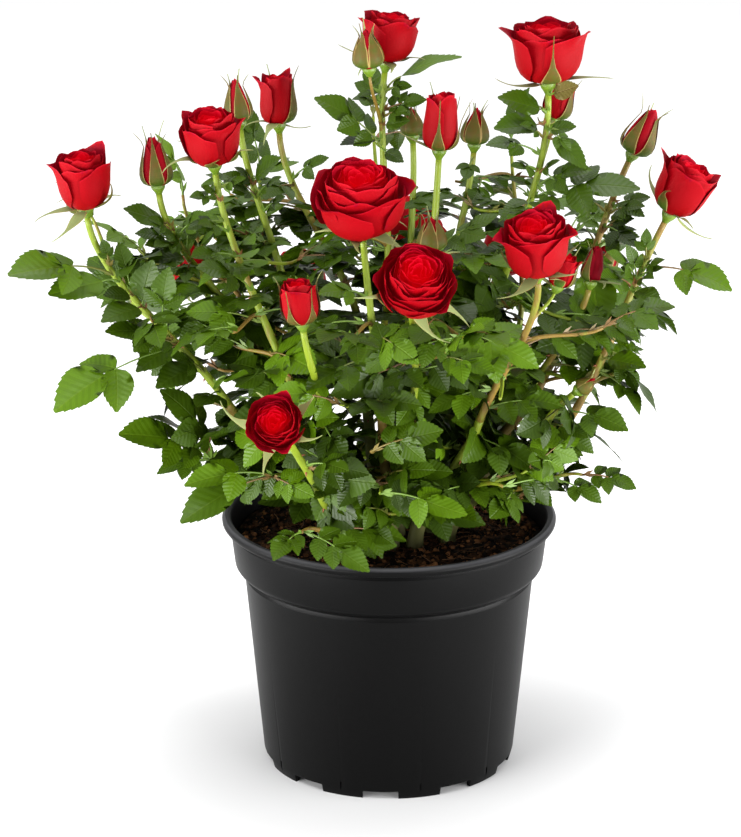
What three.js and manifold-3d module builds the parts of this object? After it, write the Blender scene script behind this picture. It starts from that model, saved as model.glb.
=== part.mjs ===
// A patio rose in a round nursery pot, as an assembly of separate solids.
// Millimetres, +Z up, origin at the middle of the pot's underside, -Y towards the viewer.
// The pot is filled with compost. Canes rise from it and fork. From each cane's tip and sides grow
// flowering shoots: a stem with compound leaves of three or five leaflets, and a rose or bud on top.
// Leafy side shoots with no flower leave each cane lower down.
import * as THREE from "three";
import { mergeVertices } from "three/addons/utils/BufferGeometryUtils.js";
import Module from "manifold-3d";

const wasm = await Module();
wasm.setup();

// ---------------------------------------------------------------- driving sizes
const CLEARANCE = 0.3; // between separate solids
const GOLDEN_ANGLE = 137.5; // degrees from one leaf to the next up a stem

const POT = {
  rimRadius: 85,
  height: 131,
  lipDepth: 5,
  lipRounding: 1,
  collarRadius: 81,
  collarFootRadius: 78.2,
  collarFootHeight: 106.4,
  bodyTopRadius: 73.7,
  bodyTopHeight: 101.8,
  bodyFootRadius: 64.6,
  footRingHeight: 5,
  footRingRadius: 63.2,
  footRingWall: 2.4,
  wall: 1.6,
  notches: 10,
  notchWidth: 18,
  notchHeight: 4.2,
  notchPhase: -94, // degrees: the first notch is just left of the front
  sides: 40,
};
const COMPOST = { top: 119, levelRadius: 46, fall: 0.8, sides: 20 };

const CANE = { sides: 5, steps: 5, flare: 1.5, flareLength: 0.22 };
const SHOOT = { sides: 3, steps: 5, footRadius: 2.1, tipRadius: 1.5, seatings: 3 };
const FLOWER = { sides: 7, sunk: 0.6 };
const BUD = { sides: 5, openness: 0.15 };

// A leaf's end leaflet takes a share of its reach, up to a longest, and its midrib the rest.
const MIDRIB = { radius: 1.2, arch: 0.08, sunk: 5 };
const LEAFLET = { share: 0.54, longest: 34, width: 0.66, thickness: 1.1, widestAt: 0.45 };
const PAIRS = [
  { at: 0.84, scale: 0.92, splay: 68 },
  { at: 0.42, scale: 0.76, splay: 74 },
];
const LEAF_RULE = { spacing: 32, firstAt: 12, reach: 64, outward: 0.6, roll: 28, fiveShare: 0.1 };
const LEAF_TRIES = { reaches: [1, 0.86, 0.72], turns: [0, 42, -42, 90] };

// The room that the leaves keep to: an oval at each height, broad at the shoulders and drawn in below.
const CROWN = {
  centre: 250,
  depthShare: 0.8, // of the oval's half width
  sides: [ // height, half width
    [112, 60], [140, 90], [160, 100], [180, 110], [200, 118], [222, 128], [240, 138],
    [256, 162], [282, 166], [305, 150], [330, 118], [358, 50],
  ],
};
// The gap left for the watering can: leaves in it keep above a slope that rises towards the viewer.
const WATERING = { halfWidth: 90, middle: 44, middleReach: -40, sideReach: 12, slope: 0.33 };

// Canes: heading (degrees, 0 = +X, 90 = away from the viewer) and radius of the foot on the compost,
// the fork at the tip (x, y, z), and the radii of the cane at foot and tip.
const CANES = {
  cane_left: { foot: [190, 22], fork: [-80, -24, 196], radii: [3.6, 2.3] },
  cane_left_back: { foot: [160, 13], fork: [-62, 12, 206], radii: [3.4, 2.2] },
  cane_front_left: { foot: [228, 17], fork: [-44, -42, 200], radii: [3.2, 2.1] },
  cane_centre_back: { foot: [112, 17], fork: [-14, 26, 214], radii: [3.6, 2.4] },
  cane_front: { foot: [272, 19], fork: [-4, -52, 198], radii: [3.4, 2.3] },
  cane_centre: { foot: [0, 4], fork: [16, -12, 212], radii: [3.2, 2.2] },
  cane_right_back: { foot: [50, 18], fork: [46, 14, 214], radii: [3.7, 2.5] },
  cane_front_right: { foot: [306, 22], fork: [44, -50, 196], radii: [3.2, 2.1] },
  cane_right: { foot: [10, 23], fork: [78, 6, 200], radii: [3.3, 2.2] },
  cane_far_right: { foot: [342, 31], fork: [86, -28, 184], radii: [3.1, 2.1] },
  cane_low_front: { foot: [246, 33], fork: [-34, -64, 162], radii: [2.8, 1.9] },
  cane_back_left: { foot: [140, 29], fork: [-58, 58, 196], radii: [3.2, 2.1] },
  cane_back: { foot: [90, 32], fork: [2, 68, 200], radii: [3.3, 2.2] },
  cane_back_right: { foot: [40, 34], fork: [64, 56, 196], radii: [3.2, 2.1] },
};

// Flowering shoots. Each starts at its cane (at = how far up the cane), and ends under a flower.
// head: the middle of the flower; size: its width and height; open: 0 is a shut bud, 1 is full blown;
// lean: heading and degrees from upright of the flower's axis; bare: length of stem with no leaves.
// A shoot with no flower has an end in place of these, and is leafy all the way.
// tips: leaves whose end is at a known place, as [how far up the stem, x, y, z, leaflets].
const SHOOTS = [
  {
    name: "rose_far_left", cane: "cane_left", at: 1,
    head: [-149, -30, 313], size: [29, 30], open: 0.5, lean: [195, 14], bare: 50,
    side: { at: 0.68, head: [-154, -8, 300], size: [15, 18], open: 0, lean: [190, 30] },
    tips: [[0.52, -181, -90, 282, 5], [0.42, -160, -52, 262, 3], [0.14, -166, -60, 206, 5], [0.6, -130, -14, 288, 3]],
  },
  {
    name: "bud_left", cane: "cane_left_back", at: 1,
    head: [-115, -10, 317], size: [16.5, 24], open: 0.08, lean: [180, 6], bare: 46,
    tips: [[0.5, -130, -30, 284, 3], [0.56, -102, 20, 304, 3]],
  },
  {
    name: "rose_left", cane: "cane_front_left", at: 1,
    head: [-86, -35, 335], size: [31, 28], open: 0.62, lean: [210, 8], bare: 48,
    tips: [[0.5, -68, -72, 284, 5]],
  },
  {
    name: "bud_upper_left", cane: "cane_left_back", at: 0.9,
    head: [-75, 5, 344], size: [14, 21], open: 0.05, lean: [160, 6], bare: 46,
    tips: [],
  },
  {
    name: "rose_back_left", cane: "cane_centre_back", at: 1,
    head: [-56, 45, 336], size: [22, 25], open: 0.32, lean: [120, 4], bare: 40,
    tips: [[0.62, -34, 14, 322, 3], [0.6, -82, 30, 303, 3]],
  },
  {
    name: "rose_top_centre", cane: "cane_centre_back", at: 0.88,
    head: [0, 10, 375], size: [30, 24], open: 0.5, lean: [20, 8], bare: 56,
    side: { at: 0.8, head: [-11, -10, 373], size: [15, 19], open: 0.02, lean: [200, 5] },
    tips: [[0.66, 34, -4, 370, 3], [0.64, -38, 22, 344, 3], [0.52, -27, -24, 323, 3], [0.62, 24, 34, 338, 3]],
  },
  {
    name: "bud_small_centre", cane: "cane_centre", at: 0.88,
    head: [9, 22, 321], size: [11, 13], open: 0, lean: [150, 4], bare: 34,
    tips: [],
  },
  {
    name: "rose_slim_centre", cane: "cane_centre", at: 1,
    head: [25, -10, 337], size: [21, 28], open: 0.28, lean: [350, 3], bare: 50,
    tips: [],
  },
  {
    name: "bud_centre_right", cane: "cane_right_back", at: 0.86,
    head: [43, 27, 326], size: [14, 18], open: 0.02, lean: [30, 4], bare: 32,
    tips: [[0.72, 62, 14, 326, 3]],
  },
  {
    name: "rose_top_right", cane: "cane_right_back", at: 1,
    head: [76, -10, 372], size: [38, 29], open: 0.78, lean: [200, 5], bare: 44,
    side: { at: 0.62, head: [85, 18, 338], size: [20, 22], open: 0.3, lean: [20, 14] },
    tips: [[0.66, 50, -24, 352, 3], [0.6, 97, -24, 314, 3], [0.55, 48, 10, 334, 3], [0.62, 104, 34, 326, 3]],
  },
  {
    name: "bud_right", cane: "cane_right", at: 1,
    head: [126, 15, 326], size: [18, 24], open: 0.1, lean: [0, 24], bare: 38,
    tips: [[0.62, 127, -10, 300, 3]],
  },
  {
    name: "rose_far_right", cane: "cane_far_right", at: 1,
    head: [144, -15, 305], size: [30, 28], open: 0.48, lean: [350, 26], bare: 46,
    tips: [[0.5, 178, 44, 240, 3], [0.4, 130, -44, 252, 3], [0.12, 128, -34, 219, 5], [0.56, 150, 6, 264, 3]],
  },
  {
    name: "rose_front_upper", cane: "cane_front", at: 1,
    head: [-14, -76, 315], size: [46, 29], open: 1, lean: [262, 30], bare: 40,
    tips: [[0.5, -50, -84, 266, 3]],
  },
  {
    name: "rose_front_centre", cane: "cane_front", at: 0.86,
    head: [12, -101, 282], size: [40, 28], open: 1, lean: [276, 48], bare: 36,
    tips: [],
  },
  {
    name: "rose_front_right", cane: "cane_front_right", at: 1,
    head: [68, -86, 295], size: [34, 30], open: 0.8, lean: [262, 24], bare: 34,
    side: { at: 0.7, head: [84, -66, 281], size: [17, 18], open: 0.3, lean: [330, 20] },
    tips: [],
  },
  {
    name: "bud_dark_right", cane: "cane_right", at: 0.84,
    head: [97, -14, 264], size: [14, 20], open: 0.06, lean: [20, 12], bare: 18,
    tips: [],
  },
  {
    name: "bud_green_centre", cane: "cane_centre", at: 0.74,
    head: [20, -56, 293], size: [14, 16], open: 0, lean: [240, 5], bare: 26,
    tips: [],
  },
  {
    name: "rose_small_left", cane: "cane_front_left", at: 0.82,
    head: [-43, -88, 268], size: [21, 21], open: 0.34, lean: [230, 10], bare: 34,
    tips: [],
  },
  {
    name: "rose_low_front", cane: "cane_low_front", at: 1,
    head: [-54, -116, 216], size: [29, 24], open: 0.45, lean: [264, 66], bare: 16,
    tips: [[0.25, -14, -112, 192, 3]],
  },
  {
    name: "bud_low_right", cane: "cane_far_right", at: 0.8,
    head: [98, -44, 210], size: [10, 12], open: 0, lean: [340, 50], bare: 10,
    tips: [[0.55, 127, -40, 198, 3], [0.3, 118, -46, 180, 3]],
  },
  {
    name: "rose_back_far_left", cane: "cane_back_left", at: 0.84,
    head: [-106, 82, 256], size: [30, 27], open: 0.55, lean: [148, 40], bare: 26,
    tips: [[0.4, -140, 70, 226, 3]],
  },
  {
    name: "rose_back_low_left", cane: "cane_back_left", at: 0.7,
    head: [-48, 110, 234], size: [34, 27], open: 0.85, lean: [112, 52], bare: 26,
    tips: [],
  },
  {
    name: "rose_back", cane: "cane_back", at: 0.84,
    head: [12, 114, 262], size: [38, 28], open: 0.95, lean: [84, 46], bare: 30,
    tips: [[0.4, 20, 131, 226, 3]],
  },
  {
    name: "rose_back_right", cane: "cane_back_right", at: 0.84,
    head: [64, 106, 242], size: [32, 27], open: 0.7, lean: [60, 48], bare: 26,
    tips: [[0.5, 106, 106, 226, 3]],
  },
  {
    name: "bud_back_right", cane: "cane_back_right", at: 0.7,
    head: [114, 78, 258], size: [16, 22], open: 0.08, lean: [34, 32], bare: 26,
    tips: [[0.5, 140, 66, 232, 3]],
  },
  { name: "leaves_top_left", cane: "cane_left_back", at: 0.78, end: [-104, 34, 288], tips: [] },
  { name: "leaves_top_back_left", cane: "cane_back_left", at: 1, end: [-64, 58, 312], tips: [] },
  { name: "leaves_top_back", cane: "cane_back", at: 1, end: [-8, 62, 322], tips: [] },
  { name: "leaves_top_back_right", cane: "cane_back_right", at: 1, end: [62, 52, 312], tips: [] },
];

// Leafy side shoots, one on each cane: how far up the cane it leaves, its reach and how far it leans,
// and the leaves whose ends are at known places.
const SIDE_SHOOT = { at: 0.5, reach: 44, lean: 78, droop: 0.2 };
const SIDE_SHOOT_TIPS = {
  cane_left: [[0.9, -134, -54, 190, 5]],
  cane_front_left: [[0.9, -104, -85, 156, 5], [0.6, -101, -78, 176, 3]],
  cane_front: [[0.9, -9, -98, 134, 5], [0.5, 38, -92, 160, 3]],
  cane_low_front: [[0.9, -42, -90, 146, 5]],
  cane_far_right: [[0.9, 105, -40, 152, 5]],
  cane_right: [[0.9, 139, -8, 190, 5]],
};

// ---------------------------------------------------------------- finishes
const finish = (color, roughness) => new THREE.MeshStandardMaterial({ color, roughness, metalness: 0 });
const POT_BLACK = finish(0x232425, 0.45);
const COMPOST_BROWN = finish(0x352014, 0.95);
const CANE_GREEN = finish(0x6b7a32, 0.6);
const LEAF_GREEN = finish(0x3c6b2c, 0.55);

// ---------------------------------------------------------------- directions and draws
const up = new THREE.Vector3(0, 0, 1);
const point = ([x, y, z]) => new THREE.Vector3(x, y, z);
const radians = THREE.MathUtils.degToRad;
const { lerp, mapLinear } = THREE.MathUtils;

// A direction from its heading and its lean from upright, both in degrees.
function leaning(heading, lean) {
  const side = Math.sin(radians(lean));
  return new THREE.Vector3(
    side * Math.cos(radians(heading)), side * Math.sin(radians(heading)), Math.cos(radians(lean)));
}

// A number from 0 to 1 that is always the same for the same three seeds.
function draw(shoot, node, kind) {
  const wave = Math.sin(shoot * 12.9898 + node * 78.233 + kind * 37.719) * 43758.5453;
  return wave - Math.floor(wave);
}

// ---------------------------------------------------------------- solids
// A closed geometry as a solid: only positions are kept, and triangles that have no area are left out.
function toSolid(geometry) {
  const bare = new THREE.BufferGeometry().setAttribute("position", geometry.getAttribute("position"));
  if (geometry.index) bare.setIndex(geometry.index);
  const merged = mergeVertices(bare, 1e-3);
  const corners = merged.index.array;
  const kept = [];
  for (let i = 0; i < corners.length; i += 3) {
    const [a, b, c] = [corners[i], corners[i + 1], corners[i + 2]];
    if (a !== b && b !== c && c !== a) kept.push(a, b, c);
  }
  return new wasm.Manifold(
    new wasm.Mesh({
      numProp: 3,
      vertProperties: new Float32Array(merged.attributes.position.array),
      triVerts: new Uint32Array(kept),
    }),
  );
}

function toGeometry(solid) {
  const mesh = solid.getMesh();
  const positions = new Float32Array(mesh.numVert * 3);
  for (let i = 0; i < mesh.numVert; i++) {
    positions.set(mesh.vertProperties.subarray(i * mesh.numProp, i * mesh.numProp + 3), i * 3);
  }
  return new THREE.BufferGeometry()
    .setAttribute("position", new THREE.BufferAttribute(positions, 3))
    .setIndex(new THREE.BufferAttribute(mesh.triVerts, 1));
}

// The solids as one body: what fusing sealed off is filled, and a loose scrap is dropped.
function fuse(solids) {
  const whole = solids.reduce((sum, next) => sum.add(next));
  const bodies = whole.decompose().filter((body) => body.volume() > 0);
  return bodies.reduce((largest, body) => (body.volume() > largest.volume() ? body : largest));
}

// A profile of [radius, height] points turned round +Z.
function lathe(profile, sides) {
  const geometry = new THREE.LatheGeometry(profile.map(([r, z]) => new THREE.Vector2(r, z)), sides);
  return toSolid(geometry.rotateX(Math.PI / 2));
}

// A three- or many-sided tapering limb: a cylinder bent along a curve.
function limbSolid(curve, radiusAt, { sides, steps }) {
  const geometry = new THREE.CylinderGeometry(1, 1, 1, sides, steps);
  const frames = curve.computeFrenetFrames(steps);
  const position = geometry.getAttribute("position");
  for (let i = 0; i < position.count; i++) {
    const step = Math.round((position.getY(i) + 0.5) * steps);
    const radius = radiusAt(step / steps);
    const place = curve
      .getPointAt(step / steps)
      .addScaledVector(frames.normals[step], position.getZ(i) * radius)
      .addScaledVector(frames.binormals[step], position.getX(i) * radius);
    position.setXYZ(i, place.x, place.y, place.z);
  }
  return toSolid(geometry);
}

// A solid that grows along +Z from its foot, set down at a place and turned to its axis.
function placed(solid, foot, axis) {
  const turn = new THREE.Quaternion().setFromUnitVectors(up, axis);
  return solid.transform(new THREE.Matrix4().compose(foot, turn, new THREE.Vector3(1, 1, 1)).elements);
}

// ---------------------------------------------------------------- pot and compost
const bodyRadius = (height) =>
  mapLinear(height, POT.footRingHeight, POT.bodyTopHeight, POT.bodyFootRadius, POT.bodyTopRadius);
const collarRadius = (height) =>
  mapLinear(height, POT.collarFootHeight, POT.height - POT.lipDepth, POT.collarFootRadius, POT.collarRadius);

function potSolid() {
  const { rimRadius, height, lipDepth, lipRounding, wall } = POT;
  const floorTop = POT.footRingHeight + wall;
  let pot = lathe(
    [
      [0, POT.footRingHeight],
      [POT.footRingRadius - POT.footRingWall, POT.footRingHeight],
      [POT.footRingRadius - POT.footRingWall, 0],
      [POT.footRingRadius, 0],
      [POT.bodyFootRadius, POT.footRingHeight],
      [POT.bodyTopRadius, POT.bodyTopHeight],
      [POT.collarFootRadius, POT.collarFootHeight],
      [POT.collarRadius, height - lipDepth],
      [rimRadius, height - lipDepth + lipRounding],
      [rimRadius, height - lipRounding],
      [rimRadius - lipRounding, height],
      [collarRadius(height) - wall, height],
      [POT.collarFootRadius - wall, POT.collarFootHeight],
      [POT.bodyTopRadius - wall, POT.bodyTopHeight],
      [bodyRadius(floorTop) - wall, floorTop],
      [0, floorTop],
    ],
    POT.sides,
  );
  for (let i = 0; i < POT.notches; i++) {
    const notch = new THREE.BoxGeometry(POT.footRingWall * 4, POT.notchWidth, POT.notchHeight * 2);
    notch.translate(POT.footRingRadius, 0, 0);
    notch.rotateZ(radians(POT.notchPhase + (i * 360) / POT.notches));
    pot = pot.subtract(toSolid(notch));
  }
  return pot;
}

function compostSolid() {
  const floor = POT.footRingHeight + POT.wall + CLEARANCE;
  const inset = POT.wall + CLEARANCE;
  const edge = COMPOST.top - COMPOST.fall;
  return lathe(
    [
      [0, floor],
      [bodyRadius(floor) - inset, floor],
      [POT.bodyTopRadius - inset, POT.bodyTopHeight],
      [POT.collarFootRadius - inset, POT.collarFootHeight],
      [collarRadius(edge) - inset, edge],
      [COMPOST.levelRadius, COMPOST.top],
      [0, COMPOST.top],
    ],
    COMPOST.sides,
  );
}

// ---------------------------------------------------------------- canes and shoots
// A cane starts upright on the compost and leans out to its fork.
function caneCurve({ foot: [heading, radius], fork }) {
  const foot = leaning(heading, 90).multiplyScalar(radius).setZ(COMPOST.top + CLEARANCE);
  const tip = point(fork);
  const length = foot.distanceTo(tip);
  const outward = tip.clone().sub(foot).normalize().lerp(up, 0.25).normalize();
  return new THREE.CubicBezierCurve3(
    foot,
    foot.clone().addScaledVector(up, length * 0.3),
    tip.clone().addScaledVector(outward, -length * 0.4),
    tip,
  );
}

function caneRadius([foot, tip]) {
  return (along) => lerp(foot, tip, along) * lerp(CANE.flare, 1, Math.min(1, along / CANE.flareLength));
}

function shootCurve(start, ahead, end, endAxis) {
  const span = start.distanceTo(end);
  return new THREE.CubicBezierCurve3(
    start,
    start.clone().addScaledVector(ahead, span * 0.32),
    end.clone().addScaledVector(endAxis, -span * 0.3),
    end,
  );
}

const shootRadius = (along) => lerp(SHOOT.footRadius, SHOOT.tipRadius, along);

// A shoot that goes on from its cane's tip, or sets off from the cane's side, seated on its bark.
function shootFrom(cane, at, end, endAxis) {
  const ahead = cane.curve.getTangentAt(at);
  const seat = cane.curve.getPointAt(at);
  if (at === 1) return shootCurve(seat.addScaledVector(ahead, CLEARANCE), ahead, end, endAxis);
  const side = end.clone().sub(seat);
  side.addScaledVector(ahead, -side.dot(ahead)).normalize();
  const branch = ahead.clone().multiplyScalar(0.5).add(side).normalize();
  let reach = caneRadius(cane.radii)(at) + SHOOT.footRadius + CLEARANCE;
  const curveAt = () => shootCurve(seat.clone().addScaledVector(side, reach), branch, end, endAxis);
  for (let i = 0; i < SHOOT.seatings; i++) {
    reach -= limbSolid(curveAt(), shootRadius, SHOOT).minGap(cane.solid, reach) - CLEARANCE;
  }
  return curveAt();
}

// ---------------------------------------------------------------- flowers
const hipLength = (width) => 3.5 + width * 0.11;

// A green hip, the cup of petals on it, and a pointed tip if it is shut or a dished top if it is open.
function flowerSolid({ size: [width, height], open }) {
  const hip = hipLength(width);
  const neck = 1.8 + width * 0.05;
  const shut = open < BUD.openness;
  const rim = lerp(0.3, 1, Math.min(1, open * 1.35));
  const waist = (width / 2) * lerp(1, 0.9, open);
  const cup = [
    [0, 0],
    [SHOOT.tipRadius, 0],
    [neck, hip * 0.6],
    [waist * 0.8, hip + height * 0.14],
    [waist, hip + height * 0.42],
  ];
  const top = shut
    ? [[0, hip + height]]
    : [
        [(width / 2) * rim, hip + height * 0.82],
        [width * 0.32 * rim, hip + height],
        [0, hip + height * lerp(1, 0.86, open)],
      ];
  return lathe([...cup, ...top], shut ? BUD.sides : FLOWER.sides);
}

function flowerAt({ head, size, open, lean }) {
  const axis = leaning(...lean);
  const foot = point(head).addScaledVector(axis, -(size[1] / 2 + hipLength(size[0])));
  const solid = placed(flowerSolid({ size, open }), foot.clone().addScaledVector(axis, -FLOWER.sunk), axis);
  return { foot, axis, solid };
}

// ---------------------------------------------------------------- leaves
// One leaflet from its root to its tip: a flat octahedron, widest a little below the middle.
function leafletSolid(root, tip, face) {
  const along = tip.clone().sub(root);
  const length = along.length();
  along.normalize();
  const across = new THREE.Vector3().crossVectors(face, along).normalize();
  const normal = new THREE.Vector3().crossVectors(along, across);
  const geometry = new THREE.OctahedronGeometry(1, 0);
  const position = geometry.getAttribute("position");
  for (let i = 0; i < position.count; i++) {
    const share = [0, LEAFLET.widestAt, 1][Math.round(position.getX(i)) + 1];
    const place = root
      .clone()
      .addScaledVector(along, share * length)
      .addScaledVector(across, (position.getY(i) * length * LEAFLET.width) / 2)
      .addScaledVector(normal, (position.getZ(i) * LEAFLET.thickness) / 2);
    position.setXYZ(i, place.x, place.y, place.z);
  }
  return toSolid(geometry);
}

// The way a leaf's upper side looks: up and away from the crown's middle, square to the leaf.
function leafFace(root, heading, roll) {
  const face = root.clone().setZ(root.z - CROWN.centre).normalize().multiplyScalar(0.8);
  face.add(up.clone().multiplyScalar(0.75));
  face.addScaledVector(heading, -face.dot(heading)).normalize();
  return face.applyAxisAngle(heading, radians(roll));
}

// A compound leaf from a point on a stem to the tip of its end leaflet: a midrib, and leaflets in pairs.
function compoundLeaf(root, tip, leaflets, roll) {
  const heading = tip.clone().sub(root).normalize();
  const face = leafFace(root, heading, roll);
  const across = new THREE.Vector3().crossVectors(face, heading);
  const reach = root.distanceTo(tip);
  const length = Math.min(reach * LEAFLET.share, LEAFLET.longest);
  const end = tip.clone().addScaledVector(heading, -length).addScaledVector(face, reach * MIDRIB.arch);
  const midrib = new THREE.LineCurve3(root, end);
  const ahead = midrib.getTangent(0);
  const spike = new THREE.ConeGeometry(MIDRIB.radius, midrib.getLength() + MIDRIB.sunk, 3);
  spike.rotateX(Math.PI / 2).translate(0, 0, (midrib.getLength() + MIDRIB.sunk) / 2);
  const solids = [
    placed(toSolid(spike), root, ahead),
    leafletSolid(end.clone().addScaledVector(ahead, -1), tip, face),
  ];
  for (const { at, scale, splay } of PAIRS.slice(0, (leaflets - 1) / 2)) {
    for (const side of [-1, 1]) {
      const away = ahead
        .clone()
        .multiplyScalar(Math.cos(radians(splay)))
        .addScaledVector(across, side * Math.sin(radians(splay)))
        .addScaledVector(face, -0.15)
        .normalize();
      const seat = midrib.getPoint(at);
      solids.push(leafletSolid(seat, seat.clone().addScaledVector(away, length * scale), face));
    }
  }
  return fuse(solids);
}

function insideCrown({ x, y, z }) {
  const above = CROWN.sides.findIndex(([height]) => height > z);
  if (above < 1) return false;
  const [[low, lowWidth], [high, highWidth]] = CROWN.sides.slice(above - 1, above + 1);
  return Math.hypot(x, y / CROWN.depthShare) < mapLinear(z, low, high, lowWidth, highWidth);
}

function inWateringGap({ x, y, z }) {
  const reach = Math.abs(x) < WATERING.middle ? WATERING.middleReach : WATERING.sideReach;
  return Math.abs(x) < WATERING.halfWidth && y < reach && z < COMPOST.top + WATERING.slope * (reach - y);
}

// The leaf that a stem bears by rule at one of its nodes, turned by the golden angle from the last one.
function ruledLeaf(shoot, seed, node) {
  const along = (LEAF_RULE.firstAt + node * LEAF_RULE.spacing) / shoot.curve.getLength();
  const root = shoot.curve.getPointAt(along);
  const outward = root.clone().setZ(0).normalize();
  const way = leaning(seed * 53 + node * GOLDEN_ANGLE, 90).addScaledVector(outward, LEAF_RULE.outward);
  way.normalize().setZ(lerp(-0.35, 0.3, draw(seed, node, 1))).normalize();
  const reach = LEAF_RULE.reach * lerp(0.82, 1.15, draw(seed, node, 2));
  const roll = LEAF_RULE.roll * (2 * draw(seed, node, 3) - 1);
  const five = draw(seed, node, 4) < LEAF_RULE.fiveShare;
  return { along, tip: root.addScaledVector(way, reach), leaflets: five ? 5 : 3, roll };
}

// ---------------------------------------------------------------- assembly
const parts = [
  { name: "pot", material: POT_BLACK, solids: [potSolid()] },
  { name: "compost", material: COMPOST_BROWN, solids: [compostSolid()] },
];

const canes = {};
for (const [name, size] of Object.entries(CANES)) {
  const curve = caneCurve(size);
  const solid = limbSolid(curve, caneRadius(size.radii), CANE);
  canes[name] = { curve, solid, radii: size.radii };
  parts.push({ name, material: CANE_GREEN, solids: [solid] });
}

function addShoot(name, curve, solids) {
  const part = { name, material: LEAF_GREEN, solids: [limbSolid(curve, shootRadius, SHOOT), ...solids] };
  parts.push(part);
  return part;
}

// The bare stems and flowers of all shoots come first, so that every leaf can keep clear of them.
const shoots = SHOOTS.map((shoot) => {
  const flower = shoot.head ? flowerAt(shoot) : { foot: point(shoot.end), axis: up };
  const curve = shootFrom(canes[shoot.cane], shoot.at, flower.foot, flower.axis);
  const solids = shoot.head ? [flower.solid] : [];
  if (shoot.side) {
    const bud = flowerAt(shoot.side);
    const { at } = shoot.side;
    const twig = shootCurve(curve.getPointAt(at), curve.getTangentAt(at), bud.foot, bud.axis);
    solids.push(limbSolid(twig, () => SHOOT.tipRadius, SHOOT), bud.solid);
  }
  return { bare: -LEAF_RULE.spacing / 2, ...shoot, curve, part: addShoot(shoot.name, curve, solids) };
});

for (const [name, cane] of Object.entries(canes)) {
  const seat = cane.curve.getPointAt(SIDE_SHOOT.at);
  const { x, y } = cane.curve.getPointAt(1);
  const heading = THREE.MathUtils.radToDeg(Math.atan2(y, x));
  const end = seat.addScaledVector(leaning(heading, SIDE_SHOOT.lean), SIDE_SHOOT.reach);
  const curve = shootFrom(cane, SIDE_SHOOT.at, end, leaning(heading, 90).setZ(-SIDE_SHOOT.droop).normalize());
  const part = addShoot(name.replace("cane", "leaves"), curve, []);
  shoots.push({ curve, part, bare: 0, tips: SIDE_SHOOT_TIPS[name] ?? [] });
}

const boxesMeet = (a, b) =>
  [0, 1, 2].every((i) => a.min[i] - CLEARANCE < b.max[i] && b.min[i] - CLEARANCE < a.max[i]);

// Whether a solid keeps its clearance from every part but its own.
function keepsClear(solid, own) {
  const box = solid.boundingBox();
  const tooNear = (near) =>
    boxesMeet(box, near.boundingBox()) && solid.minGap(near, CLEARANCE * 2) < CLEARANCE;
  return parts.every((other) => other === own || !other.solids.some(tooNear));
}

// A leaf that would leave the crown, fill the watering gap or touch another part is made shorter and
// turned aside, and is left out if none of that clears it.
function growLeaf({ curve, part }, { along, tip, leaflets, roll }, turns) {
  const root = curve.getPointAt(along);
  for (const turn of turns) {
    for (const reach of LEAF_TRIES.reaches) {
      const way = tip.clone().sub(root).multiplyScalar(reach).applyAxisAngle(up, radians(turn));
      const end = root.clone().add(way);
      if (turns.length > 1 && (!insideCrown(end) || inWateringGap(end))) continue;
      const leaf = compoundLeaf(root, end, leaflets, roll);
      if (!keepsClear(leaf, part)) continue;
      part.solids.push(leaf);
      return;
    }
  }
}

for (const shoot of shoots) {
  for (const [along, x, y, z, leaflets] of shoot.tips) {
    growLeaf(shoot, { along, tip: point([x, y, z]), leaflets, roll: 0 }, [0]);
  }
}

// The shoots take turns, node by node, so that they share the room evenly.
const nodesOn = (shoot) => (shoot.curve.getLength() - shoot.bare - LEAF_RULE.firstAt) / LEAF_RULE.spacing;
for (let node = 0; node < Math.max(...shoots.map(nodesOn)); node++) {
  shoots.forEach((shoot, seed) => {
    if (node < nodesOn(shoot)) growLeaf(shoot, ruledLeaf(shoot, seed, node), LEAF_TRIES.turns);
  });
}

const group = new THREE.Group();
for (const { name, material, solids } of parts) {
  const mesh = new THREE.Mesh(toGeometry(fuse(solids)), material);
  mesh.name = name;
  group.add(mesh);
}

export default group;
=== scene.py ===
# %% [markdown]
# # A patio rose in its nursery pot
#
# This lesson dresses a plain model of a potted rose. The model gives every piece its size and place,
# and the lesson makes what the eye sees: a moulded pot, damp compost, barked canes, serrated
# leaflets and wrapped petals. It is made from the ground up, as the plant stands: pot, compost,
# canes, shoots, leaves, flowers.

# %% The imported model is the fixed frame
import math

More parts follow.
